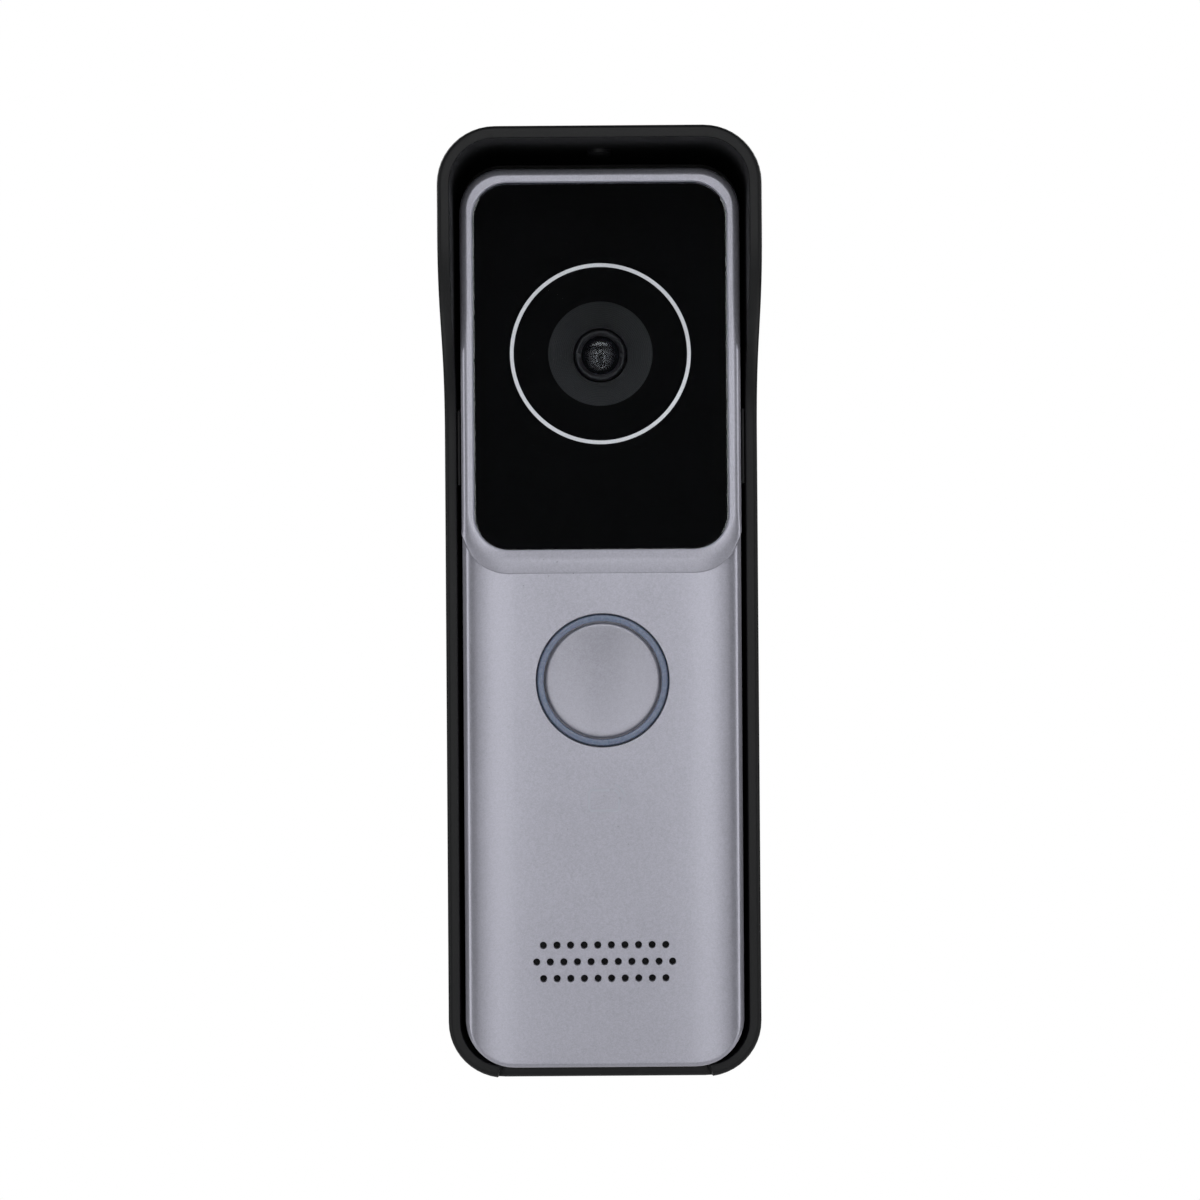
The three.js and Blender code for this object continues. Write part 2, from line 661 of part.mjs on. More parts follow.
function lensRetainingRing() {
  return turned([[2.95, 21.7], [BARREL_RADIUS, 21.7], [BARREL_RADIUS, 22.1], [3.7, 22.4], [3.15, 22.4]]);
}

/** A lens with a spherical front face. */
function lensElement(radius, rear, edge, crest) {
  const steps = 5;
  const profile = [[0, rear], [radius, rear], [radius, edge]];
  for (let i = 1; i < steps; i += 1) {
    const angle = (i / steps) * (Math.PI / 2);
    profile.push([radius * Math.cos(angle), edge + (crest - edge) * Math.sin(angle)]);
  }
  profile.push([0, crest]);
  return turned(profile, 0, 0, ROUND);
}

function lensMount() {
  const base = box(-9, 9, 8.2, 12.8, -8, 8);
  const room = box(-8.2, 8.2, 7, 11.4, -7.2, 7.2);
  const sleeve = rod(5.7, 12, 17.8, 0, 0, ROUND);
  const bore = rod(4.3, 10, 19, 0, 0, ROUND);
  return cut(joined(base, sleeve), room, bore);
}

/** The frame that the filter slides in, with a track as long as the filter and its travel. */
function irCutFrame() {
  const plate = box(-8, 8, 9.2, 11.2, -4.0, 4.0);
  const play = 0.3;
  const trackEnd = FILTER_HALF + FILTER_TRAVEL + play;
  const track = box(-FILTER_HALF - play, trackEnd, 8, 10.2, -FILTER_HIGH - play, FILTER_HIGH + play);
  return cut(plate, track, rod(2.4, 7, 12, 0, 0));
}

function irCutCarriage() {
  return box(-FILTER_HALF, FILTER_HALF, 9.3, 9.9, -FILTER_HIGH, FILTER_HIGH);
}

function camera() {
  const group = new THREE.Group();
  group.position.z = LENS_Z;
  group.add(piece("lens_baffle_cone", lensBaffleCone(), "darkMatt"));
  group.add(piece("lens_barrel", lensBarrel(), "darkMatt"));
  group.add(piece("lens_retaining_ring", lensRetainingRing(), "darkMatt"));
  group.add(piece("lens_front_element", lensElement(ELEMENT_RADIUS, 19.5, 20.6, 21.9), "lensGlass"));
  group.add(piece("lens_rear_element", lensElement(2.6, 13.0, 14.0, 15.0), "lensGlass"));
  group.add(piece("lens_mount", lensMount(), "darkMatt"));
  group.add(piece("ir_cut_frame", irCutFrame(), "chip"));
  group.add(piece("ir_cut_carriage", irCutCarriage(), "lensGlass"));
  group.add(piece("ir_cut_coil", box(-4, 4, 9.3, 11.1, 4.4, 6.8), "copper"));
  group.add(piece("image_sensor", box(-3.5, 3.5, 8.15, 8.95, -3, 3), "chip"));
  return group;
}

function cameraBoard() {
  const plate = box(-16, 16, CAMERA_BOARD_REAR, CAMERA_BOARD_FRONT, 20, 57);
  const holes = CAMERA_SCREWS.map(([x, z]) => rod(1.1, 5, 10, x, z));
  return cut(plate, ...holes);
}

/** The flat cable from the camera board down to the back of the main board. */
function cameraRibbon() {
  const thick = 0.3;
  const start = CAMERA_BOARD_FRONT + 0.1;
  const end = BOARD_REAR - 0.15;
  const outline = [
    [start, 26],
    [start, 18],
    [end - thick, 8],
    [end - thick, 0.5],
    [end, 0.5],
    [end, 8.2],
    [start + thick, 18.2],
    [start + thick, 26],
  ];
  return across(sideOutline(outline), -5, 5);
}

function irBoard() {
  return box(-16.4, 16.4, 22.8, 23.7, 13.5, 24.5);
}

/** An infrared diode: a square base with a domed lens. */
function infraredDiode(x, z) {
  const base = box(x - 1.75, x + 1.75, 23.8, 24.6, z - 1.75, z + 1.75);
  const dome = [[0, 24.4], [1.5, 24.4], [1.5, 25.0], [1.1, 25.5], [0, 25.7]];
  return joined(base, turned(dome, x, z, SMALL_ROUND));
}

// ---------- call button, built round its own axis ----------

function buttonCap() {
  return turned([
    [0, 25.0],
    [3.2, 25.07],
    [6.2, 25.3],
    [8.4, 25.6],
    [8.85, 25.55],
    [CAP_RADIUS, 25.3],
    [CAP_RADIUS, 23.8],
    [9.7, 23.8],
    [9.7, 22.9],
    [8.2, 22.9],
    [8.2, 23.7],
    [2.0, 23.7],
    [2.0, 20.2],
    [0, 20.2],
  ], 0, 0, FINE_ROUND);
}

function buttonLightRing() {
  return turned([
    [RING_INNER, 25.75],
    [RING_OUTER, 25.75],
    [RING_OUTER, 24.1],
    [12.4, 24.1],
    [12.4, 22.8],
    [11.3, 22.8],
    [11.3, 17.4],
    [10.1, 17.4],
    [10.1, 24.1],
    [RING_INNER, 24.1],
  ], 0, 0, FINE_ROUND);
}

function buttonSeal() {
  return turned([
    [2.4, 21.0],
    [2.4, 20.6],
    [8.9, 20.6],
    [8.9, 19.6],
    [9.8, 19.6],
    [9.8, 21.9],
    [8.9, 21.9],
    [8.9, 21.0],
  ], 0, 0, ROUND);
}

function callSwitchBody() {
  return cut(box(-3, 3, BOARD_FRONT + 0.1, 18.9, -3, 3), rod(2.0, 17.9, 20, 0, 0));
}

function callButton() {
  const group = new THREE.Group();
  group.position.z = BUTTON_Z;
  group.add(piece("button_cap", buttonCap(), "silverPaint"));
  group.add(piece("button_light_ring", buttonLightRing(), "lightGuide"));
  group.add(piece("button_seal", buttonSeal(), "silicone"));
  group.add(piece("call_switch_body", callSwitchBody(), "chip"));
  group.add(piece("call_switch_plunger", rod(1.7, 18.65, 20.05, 0, 0), "diode"));
  for (let i = 0; i < RING_LED_COUNT; i += 1) {
    const angle = Math.PI / 4 + (i * 2 * Math.PI) / RING_LED_COUNT;
    const x = RING_LED_RADIUS * Math.cos(angle);
    const z = RING_LED_RADIUS * Math.sin(angle);
    const diode = box(x - 1, x + 1, BOARD_FRONT + 0.1, 16.9, z - 0.8, z + 0.8);
    group.add(piece(`ring_led_${i + 1}`, diode, "diode"));
  }
  return group;
}

// ---------- speaker, built round its own axis ----------

function speakerFrame() {
  return turned([
    [11.3, 23.3],
    [13.0, 23.3],
    [13.0, 22.4],
    [12.2, 22.4],
    [10.2, 18.4],
    [6.9, 18.4],
    [6.9, 19.2],
    [9.7, 19.2],
    [11.3, 22.3],
  ]);
}

function speakerMagnet() {
  return turned([
    [0, 17.0],
    [6.6, 17.0],
    [6.6, 20.2],
    [4.6, 20.2],
    [4.6, 18.2],
    [3.4, 18.2],
    [3.4, 20.2],
    [0, 20.2],
  ], 0, 0, ROUND);
}

function speakerCone() {
  return turned([
    [0, 21.9],
    [2.0, 21.7],
    [3.8, 21.0],
    [3.8, 18.9],
    [4.2, 18.9],
    [4.2, 20.9],
    [10.6, 22.2],
    [10.6, 22.6],
    [4.4, 21.5],
    [2.0, 22.1],
    [0, 22.3],
  ]);
}

function speaker() {
  const group = new THREE.Group();
  group.position.z = GRILLE_Z;
  const gasket = turned([[10.9, 23.4], [13.0, 23.4], [13.0, 23.95], [10.9, 23.95]]);
  group.add(piece("speaker_frame", speakerFrame(), "chip"));
  group.add(piece("speaker_magnet", speakerMagnet(), "steel"));
  group.add(piece("speaker_cone", speakerCone(), "cone"));
  group.add(piece("speaker_gasket", gasket, "rubber"));
  group.add(piece("grille_mesh", box(-12.2, 12.2, 24.05, 24.2, -4.4, 4.4), "darkMatt"));
  return group;
}

// ---------- boards and small parts ----------

function mainBoard() {
  const plate = box(-BOARD_HALF, BOARD_HALF, BOARD_REAR, BOARD_FRONT, BOARD_BOTTOM, BOARD_TOP);
  return cut(plate, ...BOARD_SCREWS.map(([x, z]) => rod(1.2, 13, 17, x, z)));
}

function cardAntenna() {
  return cut(box(-17, 17, 22.8, 23.6, -41.3, -24.2), box(-12.5, 12.5, 22, 25, -37.5, -28));
}

function terminalBlock() {
  const body = box(-10, 10, 5, BOARD_REAR - 0.1, CABLE_Z - 5, CABLE_Z + 5);
  const cuts = [-7.5, -2.5, 2.5, 7.5].flatMap((x) => [
    box(x - 1.7, x + 1.7, 4, 10, CABLE_Z - 4, CABLE_Z - 0.6),
    rod(1.6, 4, 8, x, CABLE_Z + 2.5),
  ]);
  return cut(body, ...cuts);
}

function resetKey() {
  return turned([
    [0, 2.6],
    [1.3, 2.6],
    [1.3, 7.9],
    [2.2, 7.9],
    [2.2, 8.6],
    [1.3, 8.6],
    [1.3, 11.6],
    [0, 11.6],
  ], RESET_X, RESET_Z, SMALL_ROUND);
}

function microphoneBoot() {
  const bottom = BODY_BOTTOM + BODY_WALL + 0.4;
  const floor = MICROPHONE_BOTTOM - 0.2;
  const top = MICROPHONE_BOTTOM + 1.9;
  const profile = [[0.6, bottom], [2.5, bottom], [2.5, top], [1.95, top], [1.95, floor], [0.6, floor]];
  return turnedUpright(profile, MICROPHONE_X, MICROPHONE_DEPTH);
}

function microphone() {
  const top = MICROPHONE_BOTTOM + 1.7;
  const profile = [[0, MICROPHONE_BOTTOM], [1.7, MICROPHONE_BOTTOM], [1.7, top], [0, top]];
  return turnedUpright(profile, MICROPHONE_X, MICROPHONE_DEPTH);
}

// ---------- the whole doorbell ----------

const doorbell = new THREE.Group();

const hood = new THREE.Group();
hood.add(piece("rain_hood", rainHood(), "hoodPlastic"));
hood.add(piece("cable_grommet", cableGrommet(), "rubber"));
hood.add(piece("retaining_screw", retainingScrew(), "steel"));

const housing = new THREE.Group();
housing.add(piece("rear_shell", rearShell(), "shellPlastic"));
housing.add(piece("case_seal", caseSeal(), "rubber"));
housing.add(piece("front_cover", frontCover(), "silverPaint"));
housing.add(piece("front_glass", frontGlass(), "clearGlass"));
housing.add(piece("glass_mask_film", glassMaskFilm(), "blackFilm"));
housing.add(piece("glass_tape", glassTape(), "tape"));
CASE_SCREWS.forEach(([x, z], i) => {
  housing.add(piece(`case_screw_${i + 1}`, screw(x, z, 3.1, 2.3, 1.8, 1.05, 21), "steel"));
});

const electronics = new THREE.Group();
const FRONT_MOUNTED = BOARD_FRONT + 0.1;
const REAR_MOUNTED = BOARD_REAR - 0.1;
electronics.add(piece("main_board", mainBoard(), "board"));
electronics.add(piece("main_processor", box(-6.5, 6.5, FRONT_MOUNTED, 17.2, -40, -27), "chip"));
electronics.add(piece("memory_chip", box(9, 16, FRONT_MOUNTED, 16.9, -40, -29), "chip"));
electronics.add(piece("wifi_shield_can", box(-17, -2, 12.4, REAR_MOUNTED, -15, -2), "tin"));
electronics.add(piece("wifi_antenna", box(19.3, 19.7, 16.5, 21, 14, 50), "copper"));
electronics.add(piece("supply_capacitor", rod(3.2, 5.5, REAR_MOUNTED, 12, -42), "tin"));
electronics.add(piece("supply_inductor", box(-15.5, -8.5, 10.4, REAR_MOUNTED, -46, -39), "chip"));
electronics.add(piece("card_antenna", cardAntenna(), "board"));
electronics.add(piece("terminal_block", terminalBlock(), "terminal"));
electronics.add(piece("reset_key", resetKey(), "diode"));
const resetSwitch = box(RESET_X - 2.5, RESET_X + 2.5, 12.3, REAR_MOUNTED, RESET_Z - 2.5, RESET_Z + 2.5);
electronics.add(piece("reset_switch", resetSwitch, "chip"));
electronics.add(piece("microphone_boot", microphoneBoot(), "rubber"));
electronics.add(piece("microphone", microphone(), "tin"));
electronics.add(piece("camera_board", cameraBoard(), "board"));
electronics.add(piece("camera_ribbon", cameraRibbon(), "diode"));
electronics.add(piece("ir_board", irBoard(), "board"));
electronics.add(piece("ir_led_left", infraredDiode(-12, 19), "diode"));
electronics.add(piece("ir_led_right", infraredDiode(12, 19), "diode"));
electronics.add(piece("light_sensor", box(-1.2, 1.2, 23.8, 24.7, 18, 20), "chip"));
BOARD_SCREWS.forEach(([x, z], i) => {
  electronics.add(piece(`board_screw_${i + 1}`, screw(x, z, 13.3, 1.9, 1.1, 0.95, 21.5), "steel"));
});
CAMERA_SCREWS.forEach(([x, z], i) => {
  electronics.add(piece(`camera_screw_${i + 1}`, frontScrew(x, z), "steel"));
});

doorbell.add(hood, housing, electronics, camera(), callButton(), speaker());

export default doorbell;
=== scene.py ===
# %% [markdown]
# # A video doorbell in its rain hood
# The object hangs on a wall. A black moulded hood with a deep eave holds a slim silver housing: a
# camera behind a dark window at the top, a round call button with a light ring, a small printed
# card sign, and three rows of sound holes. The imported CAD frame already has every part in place, so
# each piece here is made in the same frame, in metres, and rides on a body of that frame.

# %% Load the frame
import math
import bpy
import bmesh
from mathutils import Matrix, Vector


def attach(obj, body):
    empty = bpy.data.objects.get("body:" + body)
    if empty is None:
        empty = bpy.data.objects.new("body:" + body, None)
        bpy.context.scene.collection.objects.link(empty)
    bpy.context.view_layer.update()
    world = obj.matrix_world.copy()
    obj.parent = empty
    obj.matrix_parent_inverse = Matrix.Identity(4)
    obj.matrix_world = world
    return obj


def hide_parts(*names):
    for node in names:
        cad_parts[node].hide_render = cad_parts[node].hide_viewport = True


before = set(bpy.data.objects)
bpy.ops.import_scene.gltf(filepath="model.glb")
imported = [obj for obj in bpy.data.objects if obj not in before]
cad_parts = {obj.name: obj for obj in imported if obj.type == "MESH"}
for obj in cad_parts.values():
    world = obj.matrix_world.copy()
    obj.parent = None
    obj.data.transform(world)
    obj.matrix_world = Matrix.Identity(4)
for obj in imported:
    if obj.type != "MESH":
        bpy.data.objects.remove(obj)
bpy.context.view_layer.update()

# %% [markdown]
# ## The camera
# The object is seen straight from the front, from a little over half a metre, so the eave's lip looks
# slightly larger than the face behind it. The camera is made first, because everything that follows
# is judged through it. It is turned by a fraction of a degree, as the object leans by that much.

# %% Camera
MM = 0.001
CAMERA_DISTANCE = 676 * MM
CAMERA_HEIGHT = 1.35 * MM
CAMERA_SIDE = -0.33 * MM
LEAN = math.radians(0.41)

camera = bpy.data.objects.new("camera", bpy.data.cameras.new("camera"))
bpy.context.scene.collection.objects.link(camera)
camera.location = (CAMERA_SIDE, -CAMERA_DISTANCE, CAMERA_HEIGHT)
camera.rotation_euler = (math.radians(90), LEAN, 0)
camera.data.sensor_width = 36
camera.data.lens = 124.8
camera.data.clip_start = 0.05
camera.data.clip_end = 20
bpy.context.scene.camera = camera
print("lens", camera.data.lens, "mm at", CAMERA_DISTANCE, "m")

# %% [markdown]
# ## Helpers for making shapes
# Most parts of a doorbell are either a plate with round corners, as a moulded cover is, or a turned
# shape, as a button or a lens ring is. So there is one helper for each. Both start from a bmesh
# operator: a cube whose upright edges are bevelled, and a profile that is spun. Places are given as
# distance across, distance from the wall and height, in millimetres, because that is how such a part
# is drawn.

# %% Places and turned shapes
def at(across, depth, height):
    return Vector((across * MM, -depth * MM, height * MM))


def tidy(bm, gap=2e-7):
    """Merges doubled points and turns every face outwards."""
    bmesh.ops.remove_doubles(bm, verts=bm.verts, dist=gap)
    bmesh.ops.dissolve_degenerate(bm, edges=bm.edges, dist=gap)
    bmesh.ops.recalc_face_normals(bm, faces=bm.faces)
    return bm


def turned(profile, across=0, height=0, steps=64, closed=False, upright=False):
    """Spins a profile of (radius, depth) about a line along Y, or (radius, height) about an upright."""
    bm = bmesh.new()
    if upright:
        centre = Vector((across * MM, -height * MM, 0))
        points = [centre + Vector((radius * MM, 0, along * MM)) for radius, along in profile]
    else:
        centre = at(across, 0, height)
        points = [at(across + radius, along, height) for radius, along in profile]
    verts = [bm.verts.new(point) for point in points]
    edges = [bm.edges.new(pair) for pair in zip(verts, verts[1:])]
    if closed:
        edges.append(bm.edges.new((verts[-1], verts[0])))
    bmesh.ops.spin(
        bm, geom=verts + edges, cent=centre, axis=(0, 0, 1) if upright else (0, 1, 0),
        angle=math.tau, steps=steps, use_merge=True,
    )
    return tidy(bm)


# %% Plates with round corners
def block(left, right, rear, front, bottom, top):
    bm = bmesh.new()
    bmesh.ops.create_cube(bm, size=1)
    size = Matrix.Diagonal(((right - left) * MM, (front - rear) * MM, (top - bottom) * MM, 1))
    middle = at((left + right) / 2, (rear + front) / 2, (bottom + top) / 2)
    bmesh.ops.transform(bm, matrix=Matrix.Translation(middle) @ size, verts=bm.verts)
    return bm


def bevelled(bm, edges, width, segments):
    return bmesh.ops.bevel(
        bm, geom=edges, offset=width * MM, offset_type="OFFSET", segments=segments,
        profile=0.5, affect="EDGES", material=-1,
    )


def plate(half, bottom, top, rear, front, radius_top, radius_bottom=None, steps=12, across=0):
    """A block whose four edges along Y are rounded."""
    bm = block(across - half, across + half, rear, front, bottom, top)
    middle = (bottom + top) / 2 * MM
    for radius, high in ((radius_top, True), (radius_bottom or radius_top, False)):
        corners = [
            e for e in bm.edges
            if abs(e.verts[0].co.y - e.verts[1].co.y) > 1e-9
            and (e.verts[0].co.z > middle) == high
            and abs(abs(e.verts[0].co.x - across * MM) - half * MM) < 1e-9
        ]
        bevelled(bm, corners, radius, steps)
    return tidy(bm)


def cut_through(bm, point, normal, gap=1e-8, **options):
    """Puts a row of points where a plane crosses the shape."""
    geom = bm.verts[:] + bm.edges[:] + bm.faces[:]
    bmesh.ops.bisect_plane(bm, geom=geom, plane_co=point, plane_no=normal, dist=gap, **options)


def faces_at(bm, depth, slack=0.002):
    return [f for f in bm.faces if all(abs(v.co.y + depth * MM) < slack * MM for v in f.verts)]


def pushed_out(bm, face):
    """Extrudes a face and leaves nothing behind it. Gives the points of the face's new place."""
    made = bmesh.ops.extrude_face_region(bm, geom=[face])["geom"]
    if face.is_valid:
        bmesh.ops.delete(bm, geom=[face], context="FACES_ONLY")
    return [v for v in made if isinstance(v, bmesh.types.BMVert)]


def rim_edges(bm, depth, slack=0.002):
    """The edges round the flat faces at one depth."""
    flat = set(faces_at(bm, depth, slack))
    return list({e for f in flat for e in f.edges if any(g not in flat for g in e.link_faces)})


# %% [markdown]
# Holes and bosses are cut and joined with the exact Boolean modifier, on two short-lived objects. It
# keeps a closed shape closed.

# %% Cutting and joining
def settled(bm, *modifiers):
    """The shape after modifiers, as a new bmesh. Each modifier is (kind, values)."""
    mesh = bpy.data.meshes.new("work")
    bm.to_mesh(mesh)
    bm.free()
    work = bpy.data.objects.new("work", mesh)
    bpy.context.scene.collection.objects.link(work)
    for kind, values in modifiers:
        modifier = work.modifiers.new(kind, kind)
        for key, value in values.items():
            setattr(modifier, key, value)
    graph = bpy.context.evaluated_depsgraph_get()
    result = bpy.data.meshes.new_from_object(work.evaluated_get(graph))
    made = bmesh.new()
    made.from_mesh(result)
    bpy.data.objects.remove(work)
    return made


def shaped(bm, tools, operation="DIFFERENCE"):
    """The shape with the tools cut away, or joined on."""
    whole = bmesh.new()
    for tool in tools:
        mesh = bpy.data.meshes.new("tool")
        tool.to_mesh(mesh)
        whole.from_mesh(mesh)
        tool.free()
    mesh = bpy.data.meshes.new("tool")
    whole.to_mesh(mesh)
    whole.free()
    tool = bpy.data.objects.new("tool", mesh)
    bpy.context.scene.collection.objects.link(tool)
    made = settled(bm, ("BOOLEAN", {"operation": operation, "object": tool, "solver": "EXACT"}))
    bpy.data.objects.remove(tool)
    bmesh.ops.remove_doubles(made, verts=made.verts, dist=2e-7)
    bmesh.ops.dissolve_degenerate(made, edges=made.edges, dist=2e-7)
    return made


# %% Finishing a piece
def finished(name, bm, body, material, nodes=(), sharp=32, bevel=None, weighted=False):
    """Makes the piece's object, gives it its material and lets it ride on its CAD body."""
    loose = [e for e in bm.edges if len(e.link_faces) != 2]
    mesh = bpy.data.meshes.new(name)
    bm.to_mesh(mesh)
    bm.free()
    mesh.shade_smooth()
    mesh.set_sharp_from_angle(angle=math.radians(sharp))
    mesh.materials.append(material)
    piece = bpy.data.objects.new(name, mesh)
    bpy.context.scene.collection.objects.link(piece)
    if bevel:
        edge = piece.modifiers.new("soft_edges", "BEVEL")
        edge.width = bevel * MM
        edge.segments = 2
        edge.limit_method = "ANGLE"
        edge.angle_limit = math.radians(35)
    if weighted:
        flat = piece.modifiers.new("flat_shading", "WEIGHTED_NORMAL")
        flat.keep_sharp = True
    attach(piece, body)
    if nodes:
        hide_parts(*nodes)
    print(f"{name}: {len(mesh.polygons)} faces, {len(loose)} open edges")
    return piece


# %% [markdown]
# ## Helpers for making finishes
# A finish is a Principled shader with what changes over the surface worked out from Object
# coordinates, which are metres here. Four effects turn up in many finishes: the fine grain of a
# mould, the fine scratches of use, lighter edges, partly scuffed by use and partly a painted highlight,
# and dust that settles on what faces up. Each is built once as a node group, with its own inputs, and
# put into each finish with its own values.

# %% Node groups
def group(name, inputs, outputs):
    tree = bpy.data.node_groups.new(name, "ShaderNodeTree")
    for label, value in inputs:
        socket = tree.interface.new_socket(label, in_out="INPUT", socket_type="NodeSocketFloat")
        socket.default_value = value
    for label, kind in outputs:
        tree.interface.new_socket(label, in_out="OUTPUT", socket_type=kind)
    return tree, tree.nodes.new("NodeGroupInput"), tree.nodes.new("NodeGroupOutput")


def node(tree, kind, values=None, **inputs):
    """A node with its settings and its inputs. An input that is a socket is linked."""
    made = tree.nodes.new(kind)
    for key, value in (values or {}).items():
        setattr(made, key, value)
    for key, value in inputs.items():
        socket = made.inputs[int(key[1:])] if key[1:].isdigit() else made.inputs[key.replace("_", " ")]
        if isinstance(value, bpy.types.NodeSocket):
            tree.links.new(value, socket)
        else:
            socket.default_value = value
    return made


def maths(tree, operation, a, b=0.0, clamp=False):
    return node(tree, "ShaderNodeMath", {"operation": operation, "use_clamp": clamp}, i0=a, i1=b).outputs[0]


def place(tree):
    return node(tree, "ShaderNodeTexCoord").outputs["Object"]


def noise(tree, size, detail=2.0, roughness=0.5, where=None):
    """Noise whose blotches are about size millimetres wide; size may be a socket."""
    if isinstance(size, bpy.types.NodeSocket):
        scale = maths(tree, "DIVIDE", 1000.0, size)
    else:
        scale = 1000.0 / size
    made = node(tree, "ShaderNodeTexNoise", Scale=scale, Detail=detail, Roughness=roughness)
    tree.links.new(where or place(tree), made.inputs["Vector"])
    return made.outputs[0]


def spread(tree, value, low, high, out_low=0.0, out_high=1.0):
    """The value's low to high stretched to out_low to out_high, and held there beyond."""
    made = node(
        tree, "ShaderNodeMapRange", {"clamp": True}, i0=value, i1=low, i2=high, i3=out_low, i4=out_high,
    )
    return made.outputs[0]


grain_tree, inside, outside = group(
    "moulded_grain", [("Size", 0.3), ("Blotch", 6.0)],
    [("Height", "NodeSocketFloat"), ("Tone", "NodeSocketFloat")],
)
fine = noise(grain_tree, inside.outputs["Size"], detail=3.0, roughness=0.6)
broad = noise(grain_tree, inside.outputs["Blotch"], detail=2.0)
grain_tree.links.new(fine, outside.inputs["Height"])
shares = [maths(grain_tree, "MULTIPLY", value, share) for value, share in ((fine, 0.6), (broad, 0.4))]
tone = maths(grain_tree, "ADD", *shares)
grain_tree.links.new(tone, outside.inputs["Tone"])

scratch_tree, inside, outside = group(
    "fine_scratches", [("Size", 3.0), ("Amount", 0.5)], [("Mask", "NodeSocketFloat")],
)
wander = noise(scratch_tree, inside.outputs["Size"], detail=3.0, roughness=0.65)
line = maths(scratch_tree, "ABSOLUTE", maths(scratch_tree, "SUBTRACT", wander, 0.5))
thin = spread(scratch_tree, line, 0.0, 0.012, 1.0, 0.0)
patch = spread(scratch_tree, noise(scratch_tree, 9.0), 0.52, 0.66)
scratched = maths(scratch_tree, "MULTIPLY", thin, patch)
mask = maths(scratch_tree, "MULTIPLY", scratched, inside.outputs["Amount"], clamp=True)
scratch_tree.links.new(mask, outside.inputs["Mask"])

# Edges are painted lighter: partly scuffed by use, partly a painted highlight where light catches the edge.
edge_wear_and_highlight_tree, inside, outside = group("edge_wear_and_highlight", [("Amount", 0.5)], [("Mask", "NodeSocketFloat")])
rounded = node(edge_wear_and_highlight_tree, "ShaderNodeBevel", {"samples": 4}, Radius=0.22 * MM)
true_normal = node(edge_wear_and_highlight_tree, "ShaderNodeNewGeometry").outputs["Normal"]
alike = node(
    edge_wear_and_highlight_tree, "ShaderNodeVectorMath", {"operation": "DOT_PRODUCT"}, i0=rounded.outputs[0], i1=true_normal,
)
edge = spread(edge_wear_and_highlight_tree, alike.outputs["Value"], 0.985, 0.80)
broken = spread(edge_wear_and_highlight_tree, noise(edge_wear_and_highlight_tree, 1.2, detail=4.0), 0.35, 0.62)
worn_and_lit_edge = maths(edge_wear_and_highlight_tree, "MULTIPLY", edge, broken)
mask = maths(edge_wear_and_highlight_tree, "MULTIPLY", worn_and_lit_edge, inside.outputs["Amount"], clamp=True)
edge_wear_and_highlight_tree.links.new(mask, outside.inputs["Mask"])

dust_tree, inside, outside = group("settled_dust", [("Amount", 0.3)], [("Mask", "NodeSocketFloat")])
normal = node(dust_tree, "ShaderNodeNewGeometry").outputs["Normal"]
facing = node(dust_tree, "ShaderNodeSeparateXYZ", i0=normal)
up = spread(dust_tree, facing.outputs["Z"], 0.35, 1.0)
specks = spread(dust_tree, noise(dust_tree, 0.5, detail=5.0, roughness=0.7), 0.42, 0.7)
drift = spread(dust_tree, noise(dust_tree, 7.0), 0.3, 0.75, 0.25, 1.0)
clumps = maths(dust_tree, "MULTIPLY", specks, drift)
lying = maths(dust_tree, "MULTIPLY", up, clumps)
mask = maths(dust_tree, "MULTIPLY", lying, inside.outputs["Amount"], clamp=True)
dust_tree.links.new(mask, outside.inputs["Mask"])
print("node groups:", [t.name for t in bpy.data.node_groups])


# %% [markdown]
# A plain moulded, painted or plated finish is the same recipe with other values: two tones mixed by
# the grain, edges made lighter partly by use and partly as a painted highlight, dust, a roughness that
# wanders a little, and the grain as bump. The numbers that are the same all over go on the shader's own
# sockets.

# %% The recipe for a solid finish
def used(tree, name, **inputs):
    made = tree.nodes.new("ShaderNodeGroup")
    made.node_tree = bpy.data.node_groups[name]
    for key, value in inputs.items():
        made.inputs[key].default_value = value
    return made


def mixed(tree, share, first, second):
    made = node(tree, "ShaderNodeMix", {"data_type": "RGBA"})
    for index, value in ((0, share), (6, first), (7, second)):
        if isinstance(value, bpy.types.NodeSocket):
            tree.links.new(value, made.inputs[index])
        else:
            made.inputs[index].default_value = value
    return made.outputs[2]


def started(name, **sockets):
    """A new material with its Principled shader's plain values set."""
    material = bpy.data.materials.new(name)
    material.use_nodes = True
    shader = material.node_tree.nodes["Principled BSDF"]
    for key, value in sockets.items():
        shader.inputs[key.replace("_", " ")].default_value = value
    return material, material.node_tree, shader


def bumped(tree, shader, height, strength, distance):
    bump = node(tree, "ShaderNodeBump", Strength=strength, Distance=distance * MM, Height=height)
    tree.links.new(bump.outputs["Normal"], shader.inputs["Normal"])


